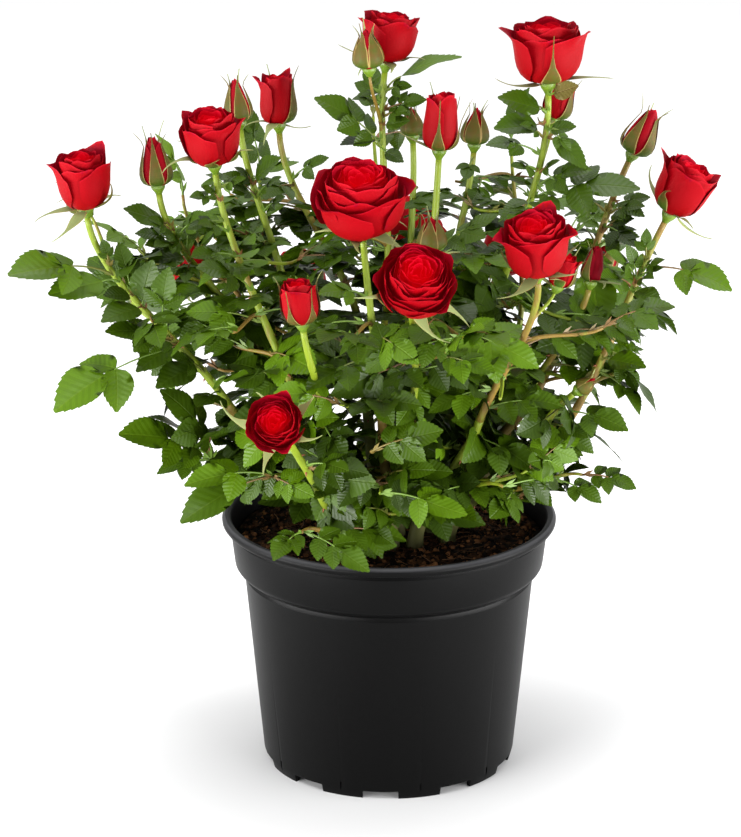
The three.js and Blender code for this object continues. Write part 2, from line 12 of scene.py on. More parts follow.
import bpy
import numpy as np
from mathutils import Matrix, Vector


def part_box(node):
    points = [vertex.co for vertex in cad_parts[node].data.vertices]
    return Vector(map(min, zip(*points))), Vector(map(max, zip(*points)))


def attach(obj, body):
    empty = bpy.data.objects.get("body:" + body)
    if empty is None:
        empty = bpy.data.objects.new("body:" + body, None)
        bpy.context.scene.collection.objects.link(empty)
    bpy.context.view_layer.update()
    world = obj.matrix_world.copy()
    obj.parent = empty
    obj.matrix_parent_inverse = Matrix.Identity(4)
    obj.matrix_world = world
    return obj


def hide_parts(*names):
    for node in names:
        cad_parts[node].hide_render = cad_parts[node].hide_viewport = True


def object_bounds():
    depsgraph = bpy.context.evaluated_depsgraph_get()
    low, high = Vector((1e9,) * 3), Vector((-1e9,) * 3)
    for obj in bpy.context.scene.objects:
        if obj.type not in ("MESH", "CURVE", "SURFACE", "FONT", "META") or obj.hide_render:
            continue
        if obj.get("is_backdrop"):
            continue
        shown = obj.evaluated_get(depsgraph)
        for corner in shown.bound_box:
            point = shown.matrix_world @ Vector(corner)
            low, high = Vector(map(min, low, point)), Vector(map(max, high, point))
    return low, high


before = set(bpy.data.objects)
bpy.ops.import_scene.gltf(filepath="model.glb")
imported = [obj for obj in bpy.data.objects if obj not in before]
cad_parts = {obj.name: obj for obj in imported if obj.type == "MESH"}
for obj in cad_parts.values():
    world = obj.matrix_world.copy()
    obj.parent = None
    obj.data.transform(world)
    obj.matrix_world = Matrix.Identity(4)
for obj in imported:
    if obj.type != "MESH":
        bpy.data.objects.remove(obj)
cad_low, cad_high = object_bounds()
print("the plain model has", len(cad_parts), "nodes and is", round(cad_high.z, 3), "m tall")

# %% [markdown]
# ## Numbers, directions and seeded draws
#
# A grower measures a pot plant in millimetres, so the plant is worked out in millimetres and turned
# to metres in one place, when a mesh is made. Where a plant looks random, the lesson draws from a
# wave with seeds of its own, so that every run grows the same bush.

# %% Vectors
MM = 0.001
UP = np.array([0.0, 0.0, 1.0])
GOLDEN_ANGLE = 137.5


def mix(a, b, share):
    return a + (b - a) * share


def unit(vector):
    return vector / np.linalg.norm(vector)


def leaning(heading, lean):
    """A direction from its heading and its lean from upright, both in degrees."""
    side = math.sin(math.radians(lean))
    turn = math.radians(heading)
    return np.array([side * math.cos(turn), side * math.sin(turn), math.cos(math.radians(lean))])


def turned(vector, axis, degrees):
    angle = math.radians(degrees)
    along = axis * np.dot(axis, vector) * (1 - math.cos(angle))
    return vector * math.cos(angle) + np.cross(axis, vector) * math.sin(angle) + along


def draw(shoot, node, kind):
    """A number from 0 to 1 that is always the same for the same three seeds."""
    wave = math.sin(shoot * 12.9898 + node * 78.233 + kind * 37.719) * 43758.5453
    return wave - math.floor(wave)


print("two draws:", round(draw(1, 2, 3), 3), round(draw(1, 2, 4), 3))

# %% [markdown]
# ## Stems as curves
#
# A stem sets off one way and ends another, which is what a cubic Bezier curve describes. Its points
# are spread along its length, so that a leaf can be placed by how far up the stem it sits.


# %% A stem's line
class Stem:
    STEPS = 48

    def __init__(self, start, start_handle, end_handle, end):
        t = np.linspace(0, 1, self.STEPS + 1)[:, None]
        pulls = [(1 - t) ** 3, 3 * t * (1 - t) ** 2, 3 * t * t * (1 - t), t**3]
        self.points = sum(p * q for p, q in zip(pulls, (start, start_handle, end_handle, end)))
        steps = np.linalg.norm(np.diff(self.points, axis=0), axis=1)
        self.run = np.concatenate([[0], np.cumsum(steps)])
        self.length = self.run[-1]

    def at(self, share):
        return np.array([np.interp(share * self.length, self.run, self.points[:, i]) for i in range(3)])

    def ahead(self, share):
        return unit(self.at(min(1, share + 0.02)) - self.at(max(0, share - 0.02)))

    def spread(self, count):
        return np.array([self.at(share) for share in np.linspace(0, 1, count)])


# %% [markdown]
# ## Many small shapes in one piece
#
# A bush has thousands of leaflets, petals and crumbs. Each would be slow as an object of its own, so
# shapes of one kind are gathered in a heap, and the heap becomes one mesh. Every point also carries
# three numbers, its marks, that the finish reads, such as how near a leaf's edge it lies.


# %% A heap of shapes
class Heap:
    def __init__(self):
        self.points, self.marks, self.corners, self.sizes = [], [], [], []
        self.count = 0

    def add(self, points, marks, *faces):
        """Adds points, their marks and arrays of faces. All faces of one array have as many corners."""
        points = np.asarray(points, float).reshape(-1, 3)
        self.points.append(points)
        self.marks.append(np.broadcast_to(np.asarray(marks, float), points.shape))
        for rows in map(np.asarray, faces):
            self.corners.append((rows + self.count).ravel())
            self.sizes.append(np.full(len(rows), rows.shape[1]))
        self.count += len(points)

    def piece(self, name, material, slot, nodes=()):
        points = np.concatenate(self.points) * MM
        corners = np.concatenate(self.corners)
        sizes = np.concatenate(self.sizes)
        mesh = bpy.data.meshes.new(name)
        mesh.vertices.add(len(points))
        mesh.vertices.foreach_set("co", points.ravel())
        mesh.loops.add(len(corners))
        mesh.loops.foreach_set("vertex_index", corners)
        mesh.polygons.add(len(sizes))
        mesh.polygons.foreach_set("loop_start", np.cumsum(sizes) - sizes)
        mesh.update(calc_edges=True)
        marks = mesh.attributes.new("marks", "FLOAT_VECTOR", "POINT")
        marks.data.foreach_set("vector", np.concatenate(self.marks).ravel())
        mesh.shade_smooth()
        made = bpy.data.objects.new(name, mesh)
        bpy.context.collection.objects.link(made)
        return finish_piece(made, material, nodes, np.sum(sizes - 2))


def finish_piece(made, material, nodes, triangles):
    """Gives a piece its finish, its body and the nodes it stands for."""
    made.data.materials.clear()
    made.data.materials.append(material)
    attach(made, "root")
    if nodes:
        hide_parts(*nodes)
    print(made.name, "has", int(triangles), "triangles")
    return made


# %% Grids, tubes and turned shapes
def grid_faces(rows, columns, closed=False):
    """Quads of a grid of points; closed joins the last column to the first."""
    width = columns if closed else columns - 1
    row, column = np.meshgrid(np.arange(rows - 1), np.arange(width), indexing="ij")
    row, column = row.ravel(), column.ravel()
    after = (column + 1) % columns
    low, high = row * columns, (row + 1) * columns
    return np.stack([low + column, low + after, high + after, high + column], axis=1)


def frames_along(points):
    """Two directions square to a line at each of its points, carried along without twisting."""
    ahead = np.gradient(points, axis=0)
    ahead /= np.linalg.norm(ahead, axis=1)[:, None]
    side = np.cross(ahead[0], UP if abs(ahead[0][2]) < 0.9 else np.array([1.0, 0, 0]))
    sides = []
    for way in ahead:
        side = unit(side - way * np.dot(side, way))
        sides.append(side)
    sides = np.array(sides)
    return ahead, sides, np.cross(ahead, sides)


def add_tube(heap, points, radii, sides, marks):
    """A closed tube along a line of points. marks has one row for each point of the line."""
    ahead, across, over = frames_along(points)
    angles = np.arange(sides) * 2 * math.pi / sides
    ring = across[:, None] * np.cos(angles)[:, None] + over[:, None] * np.sin(angles)[:, None]
    radii = np.broadcast_to(np.asarray(radii, float), (len(points),))
    skin = points[:, None] + ring * radii[:, None, None]
    ends = np.stack([points[0] - ahead[0] * radii[0] * 0.3, points[-1] + ahead[-1] * radii[-1] * 0.3])
    marks = np.broadcast_to(np.asarray(marks, float), (len(points), 3))
    all_marks = np.concatenate([np.repeat(marks, sides, axis=0), marks[[0, -1]]])
    last = len(points) * sides
    around = np.arange(sides)
    after = (around + 1) % sides
    foot_cap = np.stack([after, around, np.full(sides, last)], axis=1)
    end_cap = np.stack([last - sides + around, last - sides + after, np.full(sides, last + 1)], axis=1)
    skin = np.concatenate([skin.reshape(-1, 3), ends])
    heap.add(skin, all_marks, grid_faces(len(points), sides, True), foot_cap, end_cap)


def axis_frame(axis):
    """Two directions square to an axis."""
    side = unit(np.cross(axis, [0.0, 1.0, 0.0] if abs(axis[1]) < 0.9 else [1.0, 0, 0]))
    return side, np.cross(axis, side)


# %% [markdown]
# ## Finishes as sums
#
# A finish is a small sum: noise times a strength, added to a colour. Wiring that sum node by node is
# hard to read, so one class stands for the output of a node, and plus, minus and times on it add the
# Math nodes. Another class holds the finish itself and adds any other node.


# %% A value in a finish
class Value:
    def __init__(self, finish, socket):
        self.finish, self.socket = finish, socket

    def maths(self, operation, *others):
        return self.finish.node("Math", {"operation": operation}, [self, *others])

    def __add__(self, other):
        return self.maths("ADD", other)

    def __sub__(self, other):
        return self.maths("SUBTRACT", other)

    def __rsub__(self, other):
        return self.finish.node("Math", {"operation": "SUBTRACT"}, [other, self])

    def __mul__(self, other):
        return self.maths("MULTIPLY", other)

    def __pow__(self, other):
        return self.maths("POWER", other)

    __radd__ = __add__
    __rmul__ = __mul__


# %% A finish
def linear(red, green, blue):
    """A colour given as it is seen, 0 to 255, in the linear numbers that shaders use."""
    shares = (c / 255 for c in (red, green, blue))
    return (*(c / 12.92 if c < 0.04045 else ((c + 0.055) / 1.055) ** 2.4 for c in shares), 1.0)


class Finish:
    def __init__(self, name, **fixed):
        self.material = bpy.data.materials.new(name)
        self.material.use_nodes = True
        self.tree = self.material.node_tree
        self.shader = self.tree.nodes["Principled BSDF"]
        for socket, value in fixed.items():
            self.shader.inputs[socket.replace("_", " ")].default_value = value

    def plug(self, socket, value):
        if isinstance(value, Value):
            self.tree.links.new(value.socket, socket)
        else:
            socket.default_value = value

    def node(self, kind, settings, inputs, output=0):
        """Adds a node. Its inputs come by place in a list or by name in a dictionary."""
        node = self.tree.nodes.new("ShaderNode" + kind)
        for key, value in settings.items():
            setattr(node, key, value)
        pairs = inputs.items() if isinstance(inputs, dict) else enumerate(inputs)
        for key, value in pairs:
            self.plug(node.inputs[key], value)
        return Value(self, node.outputs[output])

    def place(self):
        return self.node("TexCoord", {}, [], "Object")

    def noise(self, size, detail=3.0, stretch=(1, 1, 1)):
        """Noise from 0 to 1 with grains of a size in metres."""
        place = self.node("Mapping", {}, {"Vector": self.place(), "Scale": stretch})
        return self.node("TexNoise", {}, {"Vector": place, "Scale": 1 / size, "Detail": detail})

    def marks(self):
        """The three numbers that each point of a heap carries."""
        vector = self.node("Attribute", {"attribute_name": "marks"}, [], "Vector")
        split = self.node("SeparateXYZ", {}, [vector])
        return [Value(self, output) for output in split.socket.node.outputs]

    def colour(self, share, low, high):
        """A colour between two, by a share from 0 to 1."""
        node = self.tree.nodes.new("ShaderNodeMix")
        node.data_type = "RGBA"
        named = {socket.identifier: socket for socket in node.inputs}
        for key, value in (("Factor_Float", share), ("A_Color", low), ("B_Color", high)):
            self.plug(named[key], value)
        result = next(s for s in node.outputs if s.identifier == "Result_Color")
        return Value(self, result)

    def span(self, value, start, end):
        """Where a value lies between two others, as a share that stops at 0 and 1."""
        inputs = {"Value": value, "From Min": start, "From Max": end}
        return self.node("MapRange", {"interpolation_type": "SMOOTHSTEP"}, inputs)

    def relief(self, height, depth):
        """Turns a height from 0 to 1 into relief of a depth in metres."""
        bump = self.node("Bump", {}, {"Height": height, "Distance": depth, "Strength": 1.0})
        self.plug(self.shader.inputs["Normal"], bump)

    def show(self, **channels):
        for socket, value in channels.items():
            self.plug(self.shader.inputs[socket.replace("_", " ")], value)
        return self.material


# %% [markdown]
# ## Camera, floor and light
#
# The plant stands on a white studio sweep. A long lens from well back keeps the pot's sides almost
# parallel. One broad lamp high on the left models the petals, one lights the crown from above, and a
# low bright wall on each side draws the soft grey on the pot's flanks. A white world fills the
# shadows. The sweep glows away from the plant: painted light, which leaves a painted shadow round the pot.

# %% Camera, set back to where the pot's rim appears at its place and width in the frame
CAMERA_PITCH = 18.0  # degrees down
FOCAL_PIXELS = 3400
FRAME_WIDTH, FRAME_HEIGHT = 741, 837  # pixels
RIM_PIXEL = (389, 515)  # where the rim's middle appears, across and down
RIM_HALF_PIXELS = 167
RIM = {"radius": 85, "widest_at": 129}  # mm
SENSOR = 36.0

pitch = math.radians(CAMERA_PITCH)
eye_ahead = np.array([0, math.cos(pitch), -math.sin(pitch)])
eye_across = np.array([1.0, 0, 0])
eye_up = np.array([0, math.sin(pitch), math.cos(pitch)])
frame_middle = np.array([FRAME_WIDTH, FRAME_HEIGHT]) / 2


def sight_through(pixel):
    """The way from the camera through a pixel, one unit ahead."""
    across, down = (np.array(pixel) - frame_middle) / FOCAL_PIXELS
    return eye_ahead + across * eye_across - down * eye_up


rim_distance = FOCAL_PIXELS * RIM["radius"] / RIM_HALF_PIXELS
eye = np.array([0, 0, RIM["widest_at"]]) - rim_distance * sight_through(RIM_PIXEL)
bpy.ops.object.select_all(action="DESELECT")
bpy.ops.object.camera_add(location=eye * MM, rotation=(math.radians(90 - CAMERA_PITCH), 0, 0))
camera = bpy.context.object
camera.data.sensor_width = SENSOR
camera.data.lens = FOCAL_PIXELS * SENSOR / FRAME_HEIGHT
bpy.context.scene.camera = camera
bpy.context.scene.view_settings.view_transform = "Standard"
print("lens", round(camera.data.lens, 1), "mm, camera at", eye.round(3), "mm")

# %% Where a point in mm appears in the frame, and which point appears at a pixel
def in_frame(points):
    """Where points appear, in pixels across and down."""
    away = points - eye
    seen = np.stack([away @ eye_across, -(away @ eye_up)], axis=-1)
    return frame_middle + seen * FOCAL_PIXELS / (away @ eye_ahead)[..., None]


def at_pixel(pixel, depth):
    """The point that appears at a pixel, as far back as y = depth."""
    sight = sight_through(pixel)
    return eye + sight * (depth - eye[1]) / sight[1]


print("the middle of the pot's foot appears at", in_frame(np.zeros(3)).round())

# %% Floor
FLOOR_SIDE = 14.0
bpy.ops.mesh.primitive_plane_add(size=FLOOR_SIDE, location=(0, 0, 0))
floor = bpy.context.object
floor.name = "floor"
FLOOR_PAINTED_LIGHT = 0.4
white_sweep = Finish("white_sweep", Roughness=0.9, Specular_IOR_Level=0.1, Emission_Strength=FLOOR_PAINTED_LIGHT)
speck = white_sweep.noise(0.4)
away = white_sweep.node("VectorMath", {"operation": "LENGTH"}, [white_sweep.place()], "Value")
# The glow is painted light that is dark near the plant and full beyond it: a painted shadow round the pot.
far = white_sweep.span(away, 0.06, 0.28)
white_sweep.show(
    Base_Color=white_sweep.colour(speck, linear(218, 218, 219), linear(220, 220, 220)),
    Emission_Color=white_sweep.colour(far, (0, 0, 0, 1), (1, 1, 1, 1)),
)
floor.data.materials.append(white_sweep.material)
floor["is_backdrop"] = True

# %% World and lamps
WORLD_WHITE = (1.0, 1.0, 1.0, 1.0)
WORLD_STRENGTH = 0.6
LAMPS = {  # place, what it is turned to, size, watts
    "key": ((-0.8, -1.0, 2.1), (0, 0, 0.24), (0.8, 0.8), 19),
    "top": ((0.2, 0.5, 1.6), (0, 0, 0.25), (1.2, 1.2), 17),
    "left_wall": ((-1.2, -0.65, 0.2), (0, 0, 0.15), (1.8, 0.35), 45),
    "right_wall": ((1.2, -0.6, 0.2), (0, 0, 0.15), (1.8, 0.35), 46),
}

world = bpy.data.worlds.new("studio")
bpy.context.scene.world = world
world.use_nodes = True
world.node_tree.nodes["Background"].inputs["Color"].default_value = WORLD_WHITE
world.node_tree.nodes["Background"].inputs["Strength"].default_value = WORLD_STRENGTH
for name, (place, target, (width, height), watts) in LAMPS.items():
    aim = (Vector(target) - Vector(place)).to_track_quat("-Z", "Y")
    bpy.ops.object.light_add(type="AREA", location=place, rotation=aim.to_euler())
    lamp = bpy.context.object
    lamp.name = name
    lamp.data.shape = "RECTANGLE"
    lamp.data.size, lamp.data.size_y = width, height
    lamp.data.energy = watts
print(len(LAMPS), "lamps")

# %% [markdown]
# ## The pot
#
# A nursery pot is one skin of black polypropylene: a tapering body, a wider collar under a rolled
# lip, and a foot ring with drain notches. All of it is a turned shape, so one disc is drawn and its
# edge is extruded ring by ring, down round the foot, up the outside, over the lip and down the
# inside. Boxes then cut the notches and drain slits out of the foot.

# %% The pot's sizes, in millimetres
rim_low, rim_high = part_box("pot")
POT_HEIGHT = rim_high.z / MM
RIM_RADIUS = (rim_high.y - rim_low.y) / 2 / MM
LIP_DEPTH = 5
COLLAR_RADIUS = 81
COLLAR_FOOT = (78.6, 106.6)  # radius, height
BODY_TOP = (73.7, 101.8)
BODY_FOOT = (64.6, 5)
FOOT_RING = 63.2
FOOT_WALL = 2.4
WALL = 1.6
ROUND = 128
SHOULDER_STEPS = 6
NOTCHES = 10
NOTCH_PHASE = -94
NOTCH = (18, 4.2)  # width, height
SLIT = (1.0, 6.5)
print("pot", round(POT_HEIGHT), "mm tall and", round(2 * RIM_RADIUS), "mm across")


# %% Rings from the foot, over the lip and down the inside
def shoulder(inset):
    """The step from the body out to the collar: a crisp edge, then a curve that ends upright."""
    steps = []
    for share in np.linspace(0, 1, SHOULDER_STEPS):
        radius = mix(BODY_TOP[0] + 0.8, COLLAR_FOOT[0], math.sin(share * math.pi / 2)) - inset
        steps.append((radius, mix(BODY_TOP[1], COLLAR_FOOT[1], share)))
    return steps


def lip(count=9):
    """The rolled lip: out, round the bead and back in."""
    bead = LIP_DEPTH / 2
    centre = (RIM_RADIUS - bead, POT_HEIGHT - bead)
    turn = np.radians(np.linspace(-80, 160, count))
    return [(centre[0] + bead * math.cos(a), centre[1] + bead * math.sin(a)) for a in turn]


underside = FOOT_RING - FOOT_WALL
outside = [
    (underside, 0),
    (FOOT_RING, 0),
    BODY_FOOT,
    (BODY_TOP[0] - 0.1, BODY_TOP[1] - 3.0),
    (BODY_TOP[0] - 1.1, BODY_TOP[1] - 0.9),
    *shoulder(0),
    (COLLAR_RADIUS - 0.4, POT_HEIGHT - LIP_DEPTH - 2.6),
    (COLLAR_RADIUS - 1.4, POT_HEIGHT - LIP_DEPTH - 1.0),
    *lip(),
]
inside = [*reversed(shoulder(WALL)), (BODY_FOOT[0] - WALL, BODY_FOOT[1] + WALL)]


def ring_by_ring(start, rings):
    """Extrudes the selected ring of edges to each radius and height in turn."""
    radius, height = start
    for next_radius, next_height in rings:
        lift = (0, 0, (next_height - height) * MM)
        bpy.ops.mesh.extrude_edges_move(TRANSFORM_OT_translate={"value": lift})
        scale = next_radius / radius
        bpy.ops.transform.resize(value=(scale, scale, 1), center_override=(0, 0, next_height * MM))
        radius, height = next_radius, next_height


bpy.ops.object.select_all(action="DESELECT")
bpy.ops.mesh.primitive_circle_add(
    vertices=ROUND, radius=underside * MM, fill_type="NGON", location=(0, 0, BODY_FOOT[1] * MM)
)
pot_shell = bpy.context.object
pot_shell.name = "pot_shell"
bpy.ops.object.transform_apply(location=True, rotation=True, scale=True)
bpy.ops.object.mode_set(mode="EDIT")
bpy.ops.mesh.select_mode(type="EDGE")
bpy.ops.mesh.select_all(action="SELECT")
bpy.ops.mesh.region_to_loop()
ring_by_ring((underside, BODY_FOOT[1]), outside + inside)
bpy.ops.mesh.edge_face_add()
bpy.ops.mesh.select_all(action="SELECT")
bpy.ops.mesh.normals_make_consistent(inside=False)
bpy.ops.object.mode_set(mode="OBJECT")
print("pot_shell", len(pot_shell.data.vertices), "points")


# %% Drain notches and slits
def radial_box(angle, radius, size, height):
    bpy.ops.mesh.primitive_cube_add(size=1)
    box = bpy.context.object
    box.scale = [s * MM for s in size]
    turn = math.radians(angle)
    box.location = (radius * math.cos(turn) * MM, radius * math.sin(turn) * MM, height * MM)
    box.rotation_euler = (0, 0, turn)
    bpy.ops.object.transform_apply(location=True, rotation=True, scale=True)
    return box


def cut(piece, cutters):
    """Joins the cutters into one and takes them out of a piece."""
    bpy.ops.object.select_all(action="DESELECT")
    for cutter in cutters:
        cutter.select_set(True)
    bpy.context.view_layer.objects.active = cutters[0]
    bpy.ops.object.join()
    joined = bpy.context.object
    bpy.ops.object.select_all(action="DESELECT")
    piece.select_set(True)
    bpy.context.view_layer.objects.active = piece
    boolean = piece.modifiers.new("cut", "BOOLEAN")
    boolean.operation = "DIFFERENCE"
    boolean.object = joined
    bpy.ops.object.modifier_apply(modifier="cut")
    bpy.data.objects.remove(joined)


notch_angles = NOTCH_PHASE + np.arange(NOTCHES) * 360 / NOTCHES
notch_size = (FOOT_WALL * 4, NOTCH[0], NOTCH[1] * 2)
notch_boxes = [radial_box(angle, FOOT_RING, notch_size, 0) for angle in notch_angles]
slit_size = (1.2, SLIT[0], SLIT[1])
slit_angles = notch_angles + 180 / NOTCHES
slit_boxes = [radial_box(angle, BODY_FOOT[0], slit_size, SLIT[1] / 2 + 1.5) for angle in slit_angles]
cut(pot_shell, notch_boxes + slit_boxes)
print("cut", len(notch_boxes), "notches and", len(slit_boxes), "slits")

# %% Soft edges
EDGE_ROUNDING = 0.35
bevel = pot_shell.modifiers.new("edges", "BEVEL")
bevel.width = EDGE_ROUNDING * MM
bevel.segments = 2
bevel.limit_method = "ANGLE"
bevel.angle_limit = math.radians(32)
bpy.ops.object.modifier_apply(modifier="edges")
bpy.ops.object.shade_smooth_by_angle(angle=math.radians(30))

# %% [markdown]
# Black polypropylene is never one flat black. It has a faint moulded grain and a soft sheen, and the
# top of its lip is painted lighter as a painted highlight. The grain and the flow marks go into the
# roughness and the relief.

# %% Pot finish
pot_black = Finish("pot_black", Specular_IOR_Level=0.084)
grain = pot_black.noise(0.0009, 2)
flow = pot_black.noise(0.03, 3, (1, 1, 0.25))
pot_black.relief(grain, 0.00005)
above_ground = pot_black.node("SeparateXYZ", {}, [pot_black.place()], "Z")
lip_low, lip_high = ((POT_HEIGHT - LIP_DEPTH * share) * MM for share in (0.4, 0.05))
# The top of the lip is painted lighter, a painted highlight on the rolled bead, broken by the flow marks.
lip_painted_highlight = pot_black.span(above_ground, lip_low, lip_high) * (0.6 + flow * 0.4)
moulded = pot_black.colour(flow, linear(1, 1, 1), linear(3, 3, 3))
pot_material = pot_black.show(
    Base_Color=pot_black.colour(lip_painted_highlight, moulded, linear(64, 64, 66)),
    Roughness=0.34 + flow * 0.1 + grain * 0.06,
)
finish_piece(pot_shell, pot_material, ["pot"], len(pot_shell.data.polygons) * 2)

# %% [markdown]
# ## The compost
#
# Damp peat compost is a lumpy dark brown surface with crumbs and orange-brown coir on it. The body
# is a shallow turned plug, its top pushed up and down by a cloud texture, and the crumbs and fibres
# are heaps of small shapes.

# %% The plug of compost
COMPOST_TOP = 119
COMPOST_FALL = 0.8
COMPOST_GAP = 0.4
COMPOST_RINGS = 26


def wall_inside(height):
    """Radius of the pot's inner wall."""
    radii = [BODY_FOOT[0], BODY_TOP[0], COLLAR_FOOT[0], COLLAR_RADIUS]
    heights = [BODY_FOOT[1], BODY_TOP[1], COLLAR_FOOT[1], POT_HEIGHT - LIP_DEPTH]
    return float(np.interp(height, heights, radii)) - WALL - COMPOST_GAP


edge_height = COMPOST_TOP - COMPOST_FALL
plug_floor = BODY_FOOT[1] + WALL + COMPOST_GAP
inwards = np.arange(COMPOST_RINGS) / COMPOST_RINGS
top_rings = list(zip(wall_inside(edge_height) * (1 - inwards), mix(edge_height, COMPOST_TOP, inwards)))
bpy.ops.object.select_all(action="DESELECT")
bpy.ops.mesh.primitive_circle_add(
    vertices=96, radius=wall_inside(plug_floor) * MM, fill_type="NGON", location=(0, 0, plug_floor * MM)
)
compost = bpy.context.object
compost.name = "compost_bed"
bpy.ops.object.transform_apply(location=True, rotation=True, scale=True)
bpy.ops.object.mode_set(mode="EDIT")
bpy.ops.mesh.select_mode(type="EDGE")
bpy.ops.mesh.select_all(action="SELECT")
bpy.ops.mesh.region_to_loop()
walls = [(wall_inside(height), height) for height in (BODY_TOP[1], COLLAR_FOOT[1])]
ring_by_ring((wall_inside(plug_floor), plug_floor), walls + top_rings)
bpy.ops.mesh.edge_face_add()
bpy.ops.mesh.select_all(action="SELECT")
bpy.ops.mesh.normals_make_consistent(inside=False)
bpy.ops.object.mode_set(mode="OBJECT")

# %% Lumps
bed = compost.vertex_groups.new(name="bed")
bed.add([v.index for v in compost.data.vertices if v.co.z > (edge_height - 1) * MM], 1.0, "REPLACE")
for name, size, depth in (("mounds", 0.016, 3.0), ("lumps", 0.005, 1.8)):
    clouds = bpy.data.textures.new(name, "CLOUDS")
    clouds.noise_scale = size
    push = compost.modifiers.new(name, "DISPLACE")
    push.texture = clouds
    push.strength = depth * MM
    push.mid_level = 0.55
    push.direction = "Z"
    push.vertex_group = "bed"
    bpy.ops.object.modifier_apply(modifier=name)
bpy.ops.object.shade_smooth()

peat = Finish("peat", Roughness=0.95, Specular_IOR_Level=0.2)
clods = peat.noise(0.004, 6)
damp = peat.noise(0.02, 2)
peat.relief(peat.noise(0.0012, 6), 0.0006)
dryness = peat.span(clods * 0.7 + damp * 0.3, 0.42, 0.68)
peat_material = peat.show(Base_Color=peat.colour(dryness, linear(12, 8, 6), linear(112, 74, 46)))
finish_piece(compost, peat_material, ["compost"], len(compost.data.polygons) * 2)

# %% [markdown]
# Crumbs are bent six-sided lumps of many sizes, most of them small, strewn by draws and half sunk. Coir
# fibres are thin three-sided tubes that lie in loose arcs.

# %% Crumbs and fibres
CRUMBS = 3400
FIBRES = 150
BED_RADIUS = 75

crumb_ring = np.array([leaning(60 * i, 90) for i in range(6)])
crumb_shape = np.concatenate([crumb_ring, crumb_ring * 0.55 + UP * 0.7, [UP * 0.85]])
crumb_sides = np.array([[i, (i + 1) % 6, (i + 1) % 6 + 6, i + 6] for i in range(6)])
crumb_cap = np.array([[i + 6, (i + 1) % 6 + 6, 12] for i in range(6)])
crumbs = Heap()
for i in range(CRUMBS):
    radius = BED_RADIUS * math.sqrt(draw(i, 1, 1))
    place = leaning(360 * draw(i, 1, 2), 90) * radius
    size = mix(0.5, 2.3, draw(i, 1, 3) ** 3)
    tilt = leaning(360 * draw(i, 1, 4), 50 * draw(i, 1, 5))
    side, over = axis_frame(tilt)
    jitter = np.array([mix(0.6, 1.25, draw(i, j, 6)) for j in range(len(crumb_shape))])
    shape = crumb_shape * jitter[:, None] * size
    lift = COMPOST_TOP - COMPOST_FALL + 0.3
    shape = shape[:, :1] * side + shape[:, 1:2] * over + shape[:, 2:] * tilt + place + UP * lift
    crumbs.add(shape, (draw(i, 1, 7), 0, 0), crumb_sides, crumb_cap)

crumb_brown = Finish("crumb_brown", Roughness=0.95, Specular_IOR_Level=0.15)
crumb_tone = crumb_brown.marks()[0]
crumb_material = crumb_brown.show(
    Base_Color=crumb_brown.colour(crumb_tone**3.0, linear(16, 10, 7), linear(158, 108, 70))
)
crumbs.piece("compost_crumbs", crumb_material, "compost", ["compost"])

fibres = Heap()
for i in range(FIBRES):
    place = leaning(360 * draw(i, 2, 1), 90) * BED_RADIUS * draw(i, 2, 2) ** 0.5
    heading = 360 * draw(i, 2, 3)
    length = mix(4, 13, draw(i, 2, 4))
    bend = mix(-60, 60, draw(i, 2, 5))
    place[2] = COMPOST_TOP + mix(0.2, 1.2, draw(i, 2, 6))
    line = [place]
    for bit in range(6):
        way = leaning(heading + bend * bit / 5, 90 + 10 * (draw(i, bit, 7) - 0.6))
        line.append(line[-1] + way * length / 6)
    line = np.array([p for p in line if np.hypot(p[0], p[1]) < BED_RADIUS])
    if len(line) > 2:
        add_tube(fibres, line, mix(0.12, 0.3, draw(i, 2, 8)), 3, (draw(i, 2, 9), 0, 0))
coir = Finish("coir", Roughness=0.8)
coir_tone = coir.marks()[0]
coir_material = coir.show(Base_Color=coir.colour(coir_tone, linear(66, 42, 24), linear(150, 108, 70)))
fibres.piece("compost_fibres", coir_material, "compost", ["compost"])

# %% [markdown]
# ## The plan of the bush
#
# Canes rise from the compost and fork. Flowering shoots grow from each cane's tip and sides, and
# every cane has one leafy side shoot. The plan gives the foot and fork of each cane, and the head,
# size, openness and lean of each flower. A few leaves that reach out of the crown are placed by
# their tips. All the rest grow by rule.

# %% Canes: foot (heading, radius), fork (x, y, z), radii at foot and tip
CANES = {
    "left": ((190, 22), (-80, -24, 196), (3.6, 2.3)),
    "left_back": ((160, 13), (-62, 12, 206), (3.4, 2.2)),
    "front_left": ((228, 17), (-44, -42, 200), (3.2, 2.1)),
    "centre_back": ((112, 17), (-14, 26, 214), (3.6, 2.4)),
    "front": ((272, 19), (-4, -52, 198), (3.4, 2.3)),
    "centre": ((0, 4), (16, -12, 212), (3.2, 2.2)),
    "right_back": ((50, 18), (46, 14, 214), (3.7, 2.5)),
    "front_right": ((306, 22), (44, -50, 196), (3.2, 2.1)),
    "right": ((10, 23), (78, 6, 200), (3.3, 2.2)),
    "far_right": ((342, 31), (86, -28, 184), (3.1, 2.1)),
    "low_front": ((246, 33), (-34, -64, 162), (2.8, 1.9)),
    "back_left": ((140, 29), (-58, 58, 196), (3.2, 2.1)),
    "back": ((90, 32), (2, 68, 200), (3.3, 2.2)),
    "back_right": ((40, 34), (64, 56, 196), (3.2, 2.1)),
}

